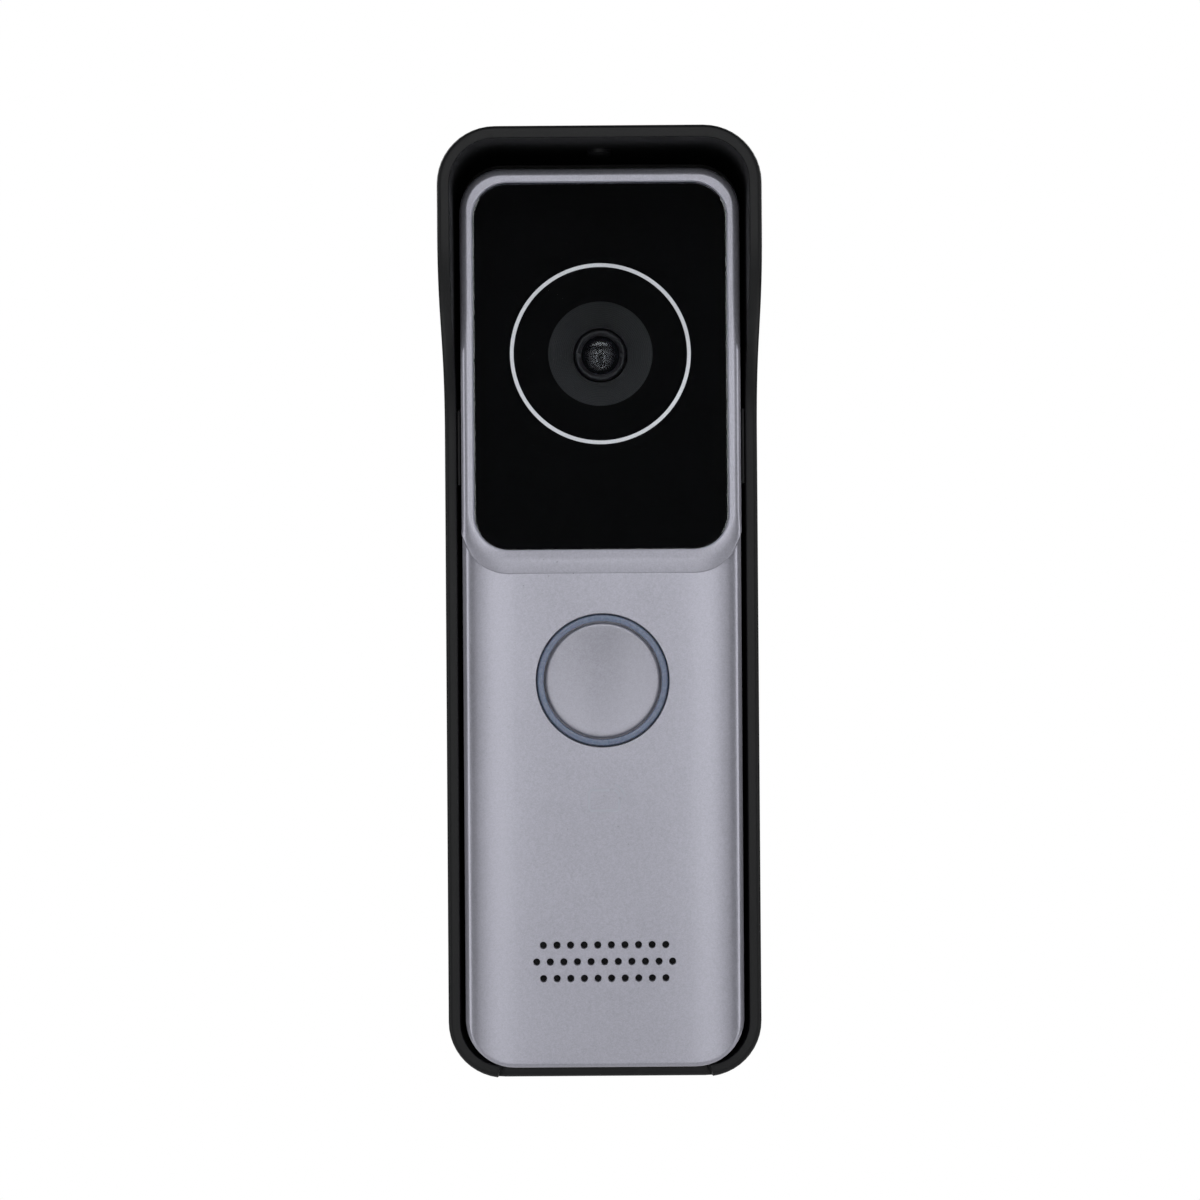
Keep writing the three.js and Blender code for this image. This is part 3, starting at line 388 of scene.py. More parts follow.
def finish(
    name, dark, light, rough=(0.45, 0.6), grain=0.3, blotch=6.0, bump=(0.3, 0.02),
    wear_and_highlight=0.0, worn_and_lit_colour=(0.2, 0.2, 0.2, 1), dust=0.0, scratches=0.0, **sockets
):
    material, tree, shader = started(name, **sockets)
    moulded = used(tree, "moulded_grain", Size=grain, Blotch=blotch)
    tone = spread(tree, moulded.outputs["Tone"], 0.32, 0.68)
    colour = mixed(tree, tone, (*dark, 1), (*light, 1))
    roughness = spread(tree, moulded.outputs["Tone"], 0.3, 0.7, *rough)
    if scratches:
        lines = used(tree, "fine_scratches", Amount=scratches).outputs["Mask"]
        roughness = maths(tree, "ADD", roughness, maths(tree, "MULTIPLY", lines, 0.18), clamp=True)
    # Lighter edges: part scuffing from use, part painted highlight.
    if wear_and_highlight:
        worn_and_lit_mask = used(tree, "edge_wear_and_highlight", Amount=wear_and_highlight).outputs["Mask"]
        colour = mixed(tree, worn_and_lit_mask, colour, worn_and_lit_colour)
    if dust:
        settled_dust = used(tree, "settled_dust", Amount=dust).outputs["Mask"]
        colour = mixed(tree, settled_dust, colour, (0.32, 0.30, 0.27, 1))
        roughness = maths(tree, "ADD", roughness, maths(tree, "MULTIPLY", settled_dust, 0.3), clamp=True)
    tree.links.new(colour, shader.inputs["Base Color"])
    tree.links.new(roughness, shader.inputs["Roughness"])
    bumped(tree, shader, moulded.outputs["Height"], *bump)
    return material


# %% [markdown]
# ## The finishes
# The hood is black, UV-proof plastic from a finely textured mould, with a satin gleam on its lips.
# The housing is moulded plastic with a fine-grain silver metallic paint, slightly lavender in cool
# light: the flakes make tiny lighter and darker specks, and a thin satin coat lies over them.

# %% Hood, shell and silver paint
# The hood's lighter edge colour is partly a painted highlight along its lips, partly scuffing.
hood_black = finish(
    "hood_black", (0.0062, 0.0066, 0.0074), (0.0098, 0.0103, 0.0115), rough=(0.42, 0.52), grain=0.22,
    bump=(0.25, 0.012), wear_and_highlight=0.35, worn_and_lit_colour=(0.040, 0.041, 0.045, 1), dust=0.10, scratches=0.5,
    Specular_IOR_Level=0.3,
)
shell_black = finish(
    "shell_black", (0.013, 0.0135, 0.015), (0.021, 0.0215, 0.024), rough=(0.5, 0.62), grain=0.3,
    bump=(0.35, 0.02), wear_and_highlight=0.3, worn_and_lit_colour=(0.05, 0.05, 0.055, 1), dust=0.05,
)


def silver(name, rough, dim=1.0):
    """Metallic paint: flakes as cells, each with its own brightness, under a thin satin coat."""
    material, tree, shader = started(name, Metallic=0.55, Coat_Weight=0.1, Coat_Roughness=0.25)
    flakes = node(tree, "ShaderNodeTexVoronoi", Scale=1000 / 0.16, Vector=place(tree))
    flake = node(tree, "ShaderNodeSeparateColor", i0=flakes.outputs["Color"]).outputs[0]
    cloud = used(tree, "moulded_grain", Size=0.6, Blotch=14.0).outputs["Tone"]
    tone = maths(tree, "ADD", maths(tree, "MULTIPLY", flake, 0.35), maths(tree, "MULTIPLY", cloud, 0.65))
    low, high = [(level * dim, level * dim, level * dim * 1.155, 1) for level in (0.40, 0.50)]
    colour = mixed(tree, spread(tree, tone, 0.25, 0.75), low, high)
    # Lighter edges on the paint: partly scuffed, partly a painted highlight along the crests.
    worn_and_lit_mask = used(tree, "edge_wear_and_highlight", Amount=0.3).outputs["Mask"]
    colour = mixed(tree, worn_and_lit_mask, colour, (0.62, 0.62, 0.68, 1))
    dusty = used(tree, "settled_dust", Amount=0.12).outputs["Mask"]
    colour = mixed(tree, dusty, colour, (0.42, 0.40, 0.38, 1))
    tree.links.new(colour, shader.inputs["Base Color"])
    tree.links.new(spread(tree, tone, 0.2, 0.8, rough - 0.04, rough + 0.05), shader.inputs["Roughness"])
    bumped(tree, shader, maths(tree, "ADD", cloud, maths(tree, "MULTIPLY", flake, 0.25)), 0.22, 0.006)
    return material


cover_silver = silver("cover_silver", 0.31)
button_silver = silver("button_silver", 0.33, dim=0.83)
print("made", hood_black.name, shell_black.name, cover_silver.name, button_silver.name)

# %% [markdown]
# ## Glass, film and inks
# The window is a clear pane with a ground edge, and the black is a print on a film behind it. So
# the pane is real glass, and lamps shine through it by the Light Path mix, which keeps what lies
# behind it from going dark. Its ground edge is rougher than its polished face. The lens glass is
# darker, with the faint violet of an anti-reflection coating where it is seen at a slant.

# %% Glass
def clear_glass(name, colour, rough, shadow, edge_rough=None, coating=None, gloss=0.5):
    material, tree, shader = started(
        name, Base_Color=(*colour, 1), Roughness=rough, IOR=1.5, Transmission_Weight=1.0,
        Specular_IOR_Level=gloss,
    )
    smudge = spread(tree, noise(tree, 8.0, detail=4.0), 0.45, 0.8, rough, rough + 0.012)
    if edge_rough:
        normal = node(tree, "ShaderNodeNewGeometry").outputs["Normal"]
        facing = node(tree, "ShaderNodeSeparateXYZ", i0=normal)
        side = maths(tree, "ABSOLUTE", facing.outputs["Y"])
        ground = spread(tree, side, 0.85, 0.98, edge_rough, 0.0)
        smudge = maths(tree, "MAXIMUM", smudge, ground)
    tree.links.new(smudge, shader.inputs["Roughness"])
    if coating:
        slant = node(tree, "ShaderNodeLayerWeight", Blend=0.25).outputs["Facing"]
        tint = mixed(tree, slant, (*colour, 1), (*coating, 1))
        tree.links.new(tint, shader.inputs["Base Color"])
    clear = node(tree, "ShaderNodeBsdfTransparent", Color=(*shadow, 1))
    shadow_ray = node(tree, "ShaderNodeLightPath").outputs["Is Shadow Ray"]
    both = node(tree, "ShaderNodeMixShader", i0=shadow_ray, i1=shader.outputs[0], i2=clear.outputs[0])
    tree.links.new(both.outputs[0], tree.nodes["Material Output"].inputs["Surface"])
    return material


window_glass = clear_glass("window_glass", (0.90, 0.92, 0.94), 0.0, (0.85, 0.87, 0.9), edge_rough=0.12)
lens_glass = clear_glass(
    "lens_glass", (0.07, 0.075, 0.095), 0.16, (0.3, 0.3, 0.34), coating=(0.07, 0.06, 0.12), gloss=0.02,
)

# %% Film, inks and light guide
film_black = finish(
    "film_black", (0.0008, 0.0008, 0.0009), (0.0016, 0.0016, 0.0018), rough=(0.5, 0.6), grain=0.2,
    bump=(0.05, 0.002), Specular_IOR_Level=0.02,
)
ring_ink = finish(
    "ring_ink", (0.70, 0.685, 0.68), (0.80, 0.785, 0.78), rough=(0.45, 0.6), grain=0.12, bump=(0.2, 0.004),
)
sign_ink = finish(
    "sign_ink", (0.50, 0.52, 0.60), (0.58, 0.60, 0.68), rough=(0.5, 0.65), grain=0.12, bump=(0.2, 0.004),
)
light_guide = finish(
    "light_guide", (0.155, 0.195, 0.30), (0.20, 0.25, 0.37), rough=(0.22, 0.32), grain=0.5,
    bump=(0.08, 0.006), Subsurface_Weight=0.25, Subsurface_Scale=0.0015, Coat_Weight=0.2,
)
print("glass and inks ready")

# %% [markdown]
# ## Finishes inside
# What is inside is seen only through the window, the sound holes and the cable opening, but each part
# still has the finish of the real one: a dead matt baffle, an anodised barrel, green solder mask with
# copper tracks under it, tinned and zinc-plated steel, silicone, rubber and pressed paper.

# %% Plastics, rubbers and metals
baffle_black = finish(
    "baffle_black", (0.010, 0.0105, 0.011), (0.015, 0.0155, 0.016), rough=(0.6, 0.75), grain=0.15,
    bump=(0.3, 0.008),
)
barrel_black = finish(
    "barrel_black", (0.012, 0.012, 0.013), (0.020, 0.020, 0.022), rough=(0.32, 0.45), grain=0.12,
    bump=(0.2, 0.004), wear_and_highlight=0.3, worn_and_lit_colour=(0.06, 0.06, 0.065, 1), Metallic=0.5,
)
rubber_black = finish(
    "rubber_black", (0.010, 0.010, 0.011), (0.020, 0.020, 0.021), rough=(0.65, 0.85), grain=0.4,
    bump=(0.4, 0.02), dust=0.2,
)
silicone_grey = finish(
    "silicone_grey", (0.42, 0.44, 0.47), (0.54, 0.56, 0.59), rough=(0.45, 0.6), grain=0.5,
    bump=(0.15, 0.01), Subsurface_Weight=0.3, Subsurface_Scale=0.001,
)
chip_black = finish(
    "chip_black", (0.010, 0.010, 0.011), (0.022, 0.022, 0.024), rough=(0.5, 0.7), grain=0.15,
    bump=(0.4, 0.01),
)
tinned = finish(
    "tinned", (0.44, 0.45, 0.47), (0.62, 0.63, 0.65), rough=(0.25, 0.42), grain=0.8, blotch=3.0,
    bump=(0.1, 0.01), scratches=0.8, Metallic=0.95,
)
zinc = finish(
    "zinc", (0.36, 0.37, 0.38), (0.55, 0.56, 0.58), rough=(0.28, 0.45), grain=0.35, blotch=2.0,
    bump=(0.2, 0.01), wear_and_highlight=0.5, worn_and_lit_colour=(0.75, 0.75, 0.76, 1), scratches=0.6, Metallic=1.0,
)
copper = finish(
    "copper", (0.38, 0.13, 0.05), (0.62, 0.26, 0.11), rough=(0.25, 0.4), grain=0.25, bump=(0.4, 0.02),
    Metallic=0.9, Coat_Weight=0.4,
)
white_plastic = finish(
    "white_plastic", (0.62, 0.61, 0.54), (0.74, 0.73, 0.66), rough=(0.35, 0.5), grain=0.4,
    bump=(0.1, 0.01), Subsurface_Weight=0.1, Subsurface_Scale=0.001,
)
terminal_green = finish(
    "terminal_green", (0.012, 0.13, 0.055), (0.022, 0.19, 0.085), rough=(0.35, 0.5), grain=0.3,
    bump=(0.2, 0.012), wear_and_highlight=0.3, worn_and_lit_colour=(0.10, 0.32, 0.2, 1), dust=0.15,
)
cone_paper = finish(
    "cone_paper", (0.018, 0.015, 0.013), (0.042, 0.036, 0.03), rough=(0.75, 0.9), grain=0.35,
    bump=(0.6, 0.03),
)


# %% Circuit board and woven mesh
def board():
    """Solder mask over copper: tracks show as paler, raised lines on a square raster."""
    material, tree, shader = started("board_green", Coat_Weight=0.3, Coat_Roughness=0.15)
    where = place(tree)
    tracks = node(tree, "ShaderNodeTexBrick", {"offset": 0.37, "squash": 1.6, "squash_frequency": 3})
    turn = node(tree, "ShaderNodeMapping", Vector=where)
    turn.inputs["Rotation"].default_value = (math.radians(90), 0, 0)
    tree.links.new(turn.outputs[0], tracks.inputs["Vector"])
    settings = {"Scale": 1000 / 3.0, "Mortar Size": 0.045, "Mortar Smooth": 0.3, "Bias": 0.0}
    for key, value in settings.items():
        tracks.inputs[key].default_value = value
    track = tracks.outputs["Fac"]
    dots = node(tree, "ShaderNodeTexVoronoi", Scale=1000 / 2.4, Vector=turn.outputs[0], Randomness=0.7)
    pad = spread(tree, dots.outputs["Distance"], 0.16, 0.2, 1.0, 0.0)
    cloud = used(tree, "moulded_grain", Size=0.25, Blotch=9.0).outputs["Tone"]
    mask = mixed(tree, spread(tree, cloud, 0.3, 0.7), (0.006, 0.055, 0.03, 1), (0.010, 0.085, 0.045, 1))
    colour = mixed(tree, track, mask, (0.03, 0.16, 0.08, 1))
    colour = mixed(tree, pad, colour, (0.62, 0.60, 0.52, 1))
    tree.links.new(colour, shader.inputs["Base Color"])
    tree.links.new(pad, shader.inputs["Metallic"])
    tree.links.new(spread(tree, cloud, 0.3, 0.7, 0.35, 0.5), shader.inputs["Roughness"])
    bumped(tree, shader, maths(tree, "ADD", track, pad), 0.4, 0.02)
    return material


def woven():
    """A fine cloth of round threads, over and under, with painted shade darkening it where the threads dip.
    """
    material, tree, shader = started("mesh_cloth", Sheen_Weight=0.3)
    where = node(tree, "ShaderNodeSeparateXYZ", i0=place(tree))
    waves = [
        maths(tree, "SINE", maths(tree, "MULTIPLY", where.outputs[axis], math.tau * 1000 / 0.45))
        for axis in ("X", "Z")
    ]
    weave = maths(tree, "MULTIPLY", waves[0], waves[1])
    height = spread(tree, weave, -1.0, 1.0)
    # The colour follows the weave's height: painted shade darkens the dips between the threads.
    colour = mixed(tree, height, (0.004, 0.004, 0.0045, 1), (0.022, 0.022, 0.024, 1))
    tree.links.new(colour, shader.inputs["Base Color"])
    tree.links.new(spread(tree, noise(tree, 1.0), 0.3, 0.7, 0.6, 0.8), shader.inputs["Roughness"])
    bumped(tree, shader, height, 0.8, 0.05)
    return material


board_green = board()
mesh_cloth = woven()
print("materials:", len(bpy.data.materials))

# %% [markdown]
# ## The rain hood
# The real hood is one moulding: a back plate, walls all round, and a roof that runs far forward and
# sweeps back to shallow sides. It could be cut from a block with a curved tool, but a tray whose lip is
# drawn back to the right depth at each height gives clean rows of faces that take a rounded lip. So a
# round-cornered block is inset and pushed in to make the tray, level cuts are put across the sweep,
# and then the lip's points are moved and the whole widened a little towards the front, as draft does.

# %% Hood: tray and sweep
HOOD_HALF, HOOD_LIP_HALF, HOOD_HIGH, HOOD_RADIUS = 24.5, 24.85, 73.9, 8.8
HOOD_WALL, HOOD_PLATE, EAVE = 1.9, 2.0, 41.0
EAVE_BOTTOM, SIDE_TOP, SIDE_DEPTH, FOOT_DEPTH, NOTCH_DEPTH, NOTCH_HALF = 58.0, 28.0, 19.6, 20.8, 19.0, 16.0


def sweep_depth(height):
    """How far the lip stands from the wall at a height: the eave, the sweep, then the sides."""
    if height >= EAVE_BOTTOM:
        return EAVE
    if height <= SIDE_TOP:
        return SIDE_DEPTH + (FOOT_DEPTH - SIDE_DEPTH) * (SIDE_TOP - height) / (SIDE_TOP + HOOD_HIGH)
    share = (EAVE_BOTTOM - height) / (EAVE_BOTTOM - SIDE_TOP)
    low, high = 0.0, 1.0
    for _ in range(30):
        t = (low + high) / 2
        reached = 1.5 * t * (1 - t) ** 2 + 1.5 * t * t * (1 - t) + t ** 3
        low, high = (t, high) if reached < share else (low, t)
    return EAVE + (SIDE_DEPTH - EAVE) * (3 * t * t - 2 * t ** 3)


hood = plate(HOOD_HALF, -HOOD_HIGH, HOOD_HIGH, 0, EAVE, HOOD_RADIUS, steps=12)
front = faces_at(hood, EAVE)
bmesh.ops.inset_region(hood, faces=front, thickness=HOOD_WALL * MM, use_even_offset=True)
floor_face = max(faces_at(hood, EAVE), key=lambda f: f.calc_area())
bmesh.ops.translate(hood, verts=pushed_out(hood, floor_face), vec=at(0, HOOD_PLATE - EAVE, 0))
for i in range(50):
    cut_through(hood, at(0, 0, SIDE_TOP - 6 + 0.75 * i), (0, 0, 1))
for across in (-NOTCH_HALF - 0.3, -NOTCH_HALF, NOTCH_HALF, NOTCH_HALF + 0.3):
    cut_through(hood, at(across, 0, 0), (1, 0, 0))
lip = [v for v in hood.verts if v.co.y < -(EAVE - 0.01) * MM]
for v in lip:
    height = v.co.z / MM
    notch = height < -HOOD_HIGH + 4 and abs(v.co.x) < (NOTCH_HALF + 0.1) * MM
    v.co.y = -(NOTCH_DEPTH if notch else sweep_depth(height)) * MM
for v in hood.verts:
    v.co.x *= 1 + (HOOD_LIP_HALF / HOOD_HALF - 1) * (-v.co.y / MM) / EAVE
print("hood tray:", len(hood.faces), "faces,", len(lip), "points on the lip")

# %% [markdown]
# The lip's two edges are softened, which draws the fine bright line along it. Then come the holes: four
# countersunk ones for the wall screws, the cable opening and the screw hole below. A round-nosed nub
# under the roof, two hooks at the back and a low rib inside each side wall are joined on.

# %% Hood: soft edges
LIP_OUTER_ROUND, LIP_INNER_ROUND, BACK_ROUND, PLATE_ROUND = 0.8, 0.25, 0.35, 0.4

lip_set = set(lip)
rim = [
    e for e in hood.edges
    if set(e.verts) <= lip_set and any(not set(f.verts) <= lip_set for f in e.link_faces)
]


def on_outside(e):
    """True for the lip's outer edge: its wall faces away from the middle of the tray."""
    wall = next(f for f in e.link_faces if not set(f.verts) <= lip_set)
    wall.normal_update()
    middle = (e.verts[0].co + e.verts[1].co) / 2
    return wall.normal.x * middle.x + wall.normal.z * middle.z > 0


outer_rim = [e for e in rim if on_outside(e)]
inner_rim = [e for e in rim if not on_outside(e)]
print(len(outer_rim), "outer and", len(inner_rim), "inner lip edges")
bevelled(hood, outer_rim, LIP_OUTER_ROUND, 4)
bevelled(hood, [e for e in inner_rim if e.is_valid], LIP_INNER_ROUND, 2)
bevelled(hood, rim_edges(hood, 0), BACK_ROUND, 2)
bevelled(hood, rim_edges(hood, HOOD_PLATE), PLATE_ROUND, 2)
tidy(hood)

# %% Hood: holes
WALL_HOLES = ((-13, 60), (13, 60), (-13, -56), (13, -56))
WALL_HOLE, WALL_HEAD, HEAD_STARTS, HEAD_ENDS = 2.1, 3.9, 0.6, 2.1
CABLE_HALF, CABLE_BOTTOM, CABLE_TOP, CABLE_ROUND = 13, -35, -15, 3
SCREW_DEPTH, SCREW_HEAD, SCREW_HOLE = 9, 3.1, 1.7

through = HOOD_PLATE + 1
countersink = [
    (0, -1), (WALL_HOLE, -1), (WALL_HOLE, HEAD_STARTS), (WALL_HEAD, HEAD_ENDS), (WALL_HEAD, through),
    (0, through),
]
tools = [turned(countersink, x, z, steps=36) for x, z in WALL_HOLES]
tools.append(plate(CABLE_HALF, CABLE_BOTTOM, CABLE_TOP, -1, through, CABLE_ROUND, steps=8))
bottom = -HOOD_HIGH
seat = [
    (0, bottom - 1), (SCREW_HEAD, bottom - 1), (SCREW_HEAD, bottom + 0.1), (SCREW_HOLE, bottom + 1.4),
    (SCREW_HOLE, bottom + 3), (0, bottom + 3),
]
tools.append(turned(seat, 0, SCREW_DEPTH, steps=36, upright=True))
hood = shaped(hood, tools)

# %% Hood: nub, hooks and ribs
NUB_RADIUS, NUB_DEPTH, NUB_LENGTH = 1.9, 23, 5.2
HOOK_ACROSS, HOOK_HALF, HOOK_BACK, HOOK_FRONT = 9, 2, 4.1, 5.3
RIB_ACROSS, RIB_HALF = HOOD_HALF - HOOD_WALL - 0.15, 0.25

roof = HOOD_HIGH - HOOD_WALL
nub_section = [
    (0, roof - 0.9), (1.5, roof - 0.9), (NUB_RADIUS, roof - 0.5), (NUB_RADIUS, roof + 0.6),
    (0, roof + 0.6),
]
nub = turned(nub_section, 0, NUB_DEPTH, steps=48, upright=True)
for v in nub.verts:
    if v.co.y > -NUB_DEPTH * MM + 1e-6:
        v.co.y += NUB_LENGTH * MM
joins = [nub]
for side in (-1, 1):
    left, right = side * HOOK_ACROSS - HOOK_HALF, side * HOOK_ACROSS + HOOK_HALF
    stem = block(left, right, HOOD_PLATE - 0.5, HOOK_FRONT, 43.5, 46.5)
    tip = block(left, right, HOOK_BACK, HOOK_FRONT, 45, 49)
    bevelled(tip, tip.edges[:], 0.25, 2)
    joins += [stem, tip]
    rib = block(side * RIB_ACROSS - RIB_HALF, side * RIB_ACROSS + RIB_HALF, 3, 18.9, 19.6, 31.5)
    bevelled(rib, rib.edges[:], 0.12, 1)
    joins.append(rib)
for shape in joins:
    hood = shaped(hood, [shape], "UNION")
finished("moulded_hood", hood, "root", hood_black, ["rain_hood"], weighted=True)

# %% [markdown]
# ## The silver front cover
# The cover is a slim tray seen from its outside: nearly flat across the middle, rounder towards the
# sides, with a small even round where the face meets the top and bottom. A subdivision surface would
# blur the round corners, so the block is cut into upright strips and each strip's points are
# lowered by one smooth curve. The strips lie closer together where the curve is tighter.

# %% Cover: the crowned face
BODY_HALF, BODY_TOP, BODY_BOTTOM = 21.9, 68.8, -71.7
BODY_RADIUS_TOP, BODY_RADIUS_BOTTOM = 6.8, 7.7
SKIRT, FACE, FACE_INSIDE, BODY_WALL = 14.0, 26.0, 24.4, 1.6
CROWN_POWER, CROWN_DROP, CROWN_DROP_INSIDE, EDGE_ROUND = 5, 4.5, 4.2, 0.7


def crowned(inset, rear, front, drop, edge, steps=12):
    """The housing's outline drawn in by an inset, as a block whose front is crowned across."""
    half = BODY_HALF - inset
    bm = plate(
        half, BODY_BOTTOM + inset, BODY_TOP - inset, rear, front,
        BODY_RADIUS_TOP - inset, BODY_RADIUS_BOTTOM - inset, steps=steps,
    )
    if edge:
        bevelled(bm, rim_edges(bm, front), edge, 4)
    limit = -(front - edge - 0.001) * MM
    levels = {round(abs(v.co.x) / MM, 2) for v in bm.verts if v.co.y < limit}
    levels |= {round(half * math.cos(math.radians(a)) ** (2 / CROWN_POWER), 2) for a in range(6, 90, 6)}
    levels |= {0.0, 4.5}
    kept = []
    for level in sorted(levels):
        if level < half - 0.01 and (not kept or level - kept[-1] > 0.06):
            kept.append(level)
    for level in kept:
        for side in {-level, level}:
            cut_through(bm, at(side, 0, 0), (1, 0, 0), gap=2e-6)
    for v in bm.verts:
        if v.co.y < limit:
            share = min(abs(v.co.x) / (half * MM), 1.0)
            v.co.y += drop * MM * (1 - (1 - share ** CROWN_POWER) ** (1 / CROWN_POWER))
    return tidy(bm)


cover = crowned(0, 12, FACE, CROWN_DROP, EDGE_ROUND)
print("crowned block:", len(cover.faces), "faces")

# %% [markdown]
# Round the window the face rises as a pod, flush with the housing's sides and top, with a generous round
# edge. Below, it ends in a chin that slopes back to the face. The chin is made by pushing the pod's flat
# front out and lifting its lower end, and then the whole rim is rounded, so that the light rolls over it.

# %% Cover: the pod
POD_HALF, POD_BOTTOM, POD_TOP, POD_STEP, POD_FRONT = 21.88, 5.5, 68.78, 26.1, 27.0
CHIN_RISE, POD_ROUND = 3.0, 1.25

pod = plate(POD_HALF, POD_BOTTOM, POD_TOP, 20, POD_STEP, 6.76, 7.4, steps=12)
moved = pushed_out(pod, faces_at(pod, POD_STEP)[0])
for v in moved:
    share = (POD_TOP - v.co.z / MM) / (POD_TOP - POD_BOTTOM)
    v.co += at(0, POD_FRONT - POD_STEP, CHIN_RISE * share)
chin_foot = [
    e for e in pod.edges
    if all(abs(v.co.y + POD_STEP * MM) < 1e-7 and v.co.z < (POD_BOTTOM + 7) * MM for v in e.verts)
]
bevelled(pod, chin_foot, 0.2, 2)
bevelled(pod, rim_edges(pod, POD_FRONT), POD_ROUND, 6)
tidy(pod)
cover = shaped(cover, [pod], "UNION")

# %% [markdown]
# The inside is hollowed with the same crowned block, a little smaller, and then come the window's seat, the
# button's hole with its tiny rounded mouth, the microphone's hole and the sound holes. Screw bosses are
# joined on inside before their holes are drilled.

# %% Cover: hollow, seat and holes
GLASS_HALF, GLASS_BOTTOM, GLASS_TOP, GLASS_RADIUS = 19.85, 9.2, 66.5, 5.5
GLASS_REAR, GLASS_FRONT, GLASS_GAP, SHELF, LEDGE = 26.4, 27.3, 0.2, 25.8, 3.05
BUTTON_Z, BUTTON_HOLE = -11.2, 10.45
GRILLE_Z, GRILLE_PITCH, GRILLE_STEP, GRILLE_HOLE = -55.15, 2.125, 2.6, 0.55
GRILLE_ROWS = (10, 11, 10)
BOARD_BOSSES = ((-16.3, 1.5), (16.3, -52), (16.3, 1.5), (-16.3, -52))
CASE_SCREWS = ((-16.6, 61.3), (16.6, 61.3), (-16.6, -64.3), (16.6, -64.3))
CASE_BOSS, CASE_DRILL, BOARD_BOSS, BOARD_DRILL = 2.6, 1.2, 2.3, 1.15
MICROPHONE_X, MICROPHONE_DEPTH, MICROPHONE_HOLE = -9, 21.2, 0.6
REBATE, REBATE_FRONT = 0.7, 15.3


def window(grow, rear, front):
    return plate(GLASS_HALF + grow, GLASS_BOTTOM - grow, GLASS_TOP + grow, rear, front, GLASS_RADIUS + grow)


def drilled(radius, rear, front, x, z, steps=24):
    return turned([(0, rear), (radius, rear), (radius, front), (0, front)], x, z, steps=steps)


cover = shaped(cover, [crowned(BODY_WALL, 11, FACE_INSIDE, CROWN_DROP_INSIDE, 0, steps=6)])
cover = shaped(cover, [plate(
    BODY_HALF - REBATE, BODY_BOTTOM + REBATE, BODY_TOP - REBATE, 11, REBATE_FRONT,
    BODY_RADIUS_TOP - REBATE, BODY_RADIUS_BOTTOM - REBATE,
)])
cover = shaped(cover, [block(-30, 30, 5, SKIRT, -80, 80)])
bosses = [drilled(CASE_BOSS, 14.1, FACE_INSIDE + 0.3, x, z) for x, z in CASE_SCREWS]
bosses += [drilled(BOARD_BOSS, 16.0, FACE_INSIDE + 0.3, x, z) for x, z in BOARD_BOSSES]
for boss in bosses:
    cover = shaped(cover, [boss], "UNION")
cover = shaped(cover, [window(GLASS_GAP, SHELF, 30)])
cover = shaped(cover, [window(-LEDGE, 20, 30)])
MOUTH = 0.16
mouth = [(BUTTON_HOLE, FACE - MOUTH)]
for turn in (30, 60, 88):
    a = math.radians(turn)
    mouth.append((BUTTON_HOLE + MOUTH * (1 - math.cos(a)), FACE - MOUTH + MOUTH * math.sin(a)))
cover = shaped(cover, [turned(
    [(0, 20), (BUTTON_HOLE, 20), *mouth, (BUTTON_HOLE + MOUTH, 28), (0, 28)], 0, BUTTON_Z, steps=128,
)])
sound_holes = []
for row, count in enumerate(GRILLE_ROWS):
    for i in range(count):
        x = (i - (count - 1) / 2) * GRILLE_PITCH
        z = GRILLE_Z + (1 - row) * GRILLE_STEP
        r, flare = GRILLE_HOLE, GRILLE_HOLE + 0.08
        profile = [(0, 22), (r, 22), (r, FACE - 0.07), (flare, FACE + 0.01), (flare, 28), (0, 28)]
        sound_holes.append(turned(profile, x, z, steps=20))
print(len(sound_holes), "sound holes")
cover = shaped(cover, sound_holes)
drills = [drilled(CASE_DRILL, 10, 21.5, x, z, 16) for x, z in CASE_SCREWS]
drills += [drilled(BOARD_DRILL, 12, 22, x, z, 16) for x, z in BOARD_BOSSES[:2]]
drills.append(turned(
    [(0, -73), (MICROPHONE_HOLE, -73), (MICROPHONE_HOLE, -68.7), (0, -68.7)],
    MICROPHONE_X, MICROPHONE_DEPTH, 20, upright=True,
))
cover = shaped(cover, drills)
finished("painted_cover", cover, "root", cover_silver, ["front_cover"], sharp=28,
         weighted=True)

# %% [markdown]
# ## The window
# The pane is a slab of clear glass with a ground chamfer all round its front. Behind it lies the black
# printed film with its round opening for the camera, and a thin pale ring printed round that. The ring
# is a real, very thin ring between film and glass, so it has a crisp edge from any side.

# %% Window pane, film and ring
LENS_Z, LENS_WINDOW = 39.8, 8.15
FILM_INSET, FILM_REAR, FILM_FRONT = 0.15, 26.15, 26.3
RING_INNER, RING_OUTER, RING_REAR, RING_FRONT = 13.55, 14.12, 26.31, 26.36

pane = window(0, GLASS_REAR, GLASS_FRONT)
bevelled(pane, rim_edges(pane, GLASS_FRONT), 0.2, 2)
bevelled(pane, rim_edges(pane, GLASS_REAR), 0.1, 1)
finished("window_pane", tidy(pane), "root", window_glass, ["front_glass"], sharp=20)

film = shaped(window(-FILM_INSET, FILM_REAR, FILM_FRONT), [drilled(LENS_WINDOW, 20, 30, 0, LENS_Z, 96)])
finished("printed_film", film, "root", film_black, ["glass_mask_film"])
ring_section = [
    (RING_INNER, RING_REAR), (RING_OUTER, RING_REAR), (RING_OUTER, RING_FRONT), (RING_INNER, RING_FRONT),
]
ring = turned(ring_section, 0, LENS_Z, 160, closed=True)
finished("printed_ring", ring, "root", ring_ink)

# %% [markdown]
# ## The camera behind the window
# A matt cone shades the lens. Its wall is stepped in fine ridges, which trap stray light. At its foot
# sits the lens: an anodised barrel, a retaining ring with two notches for the key that screws it in,
# and a domed front element. All are turned shapes, so each is one spun profile.

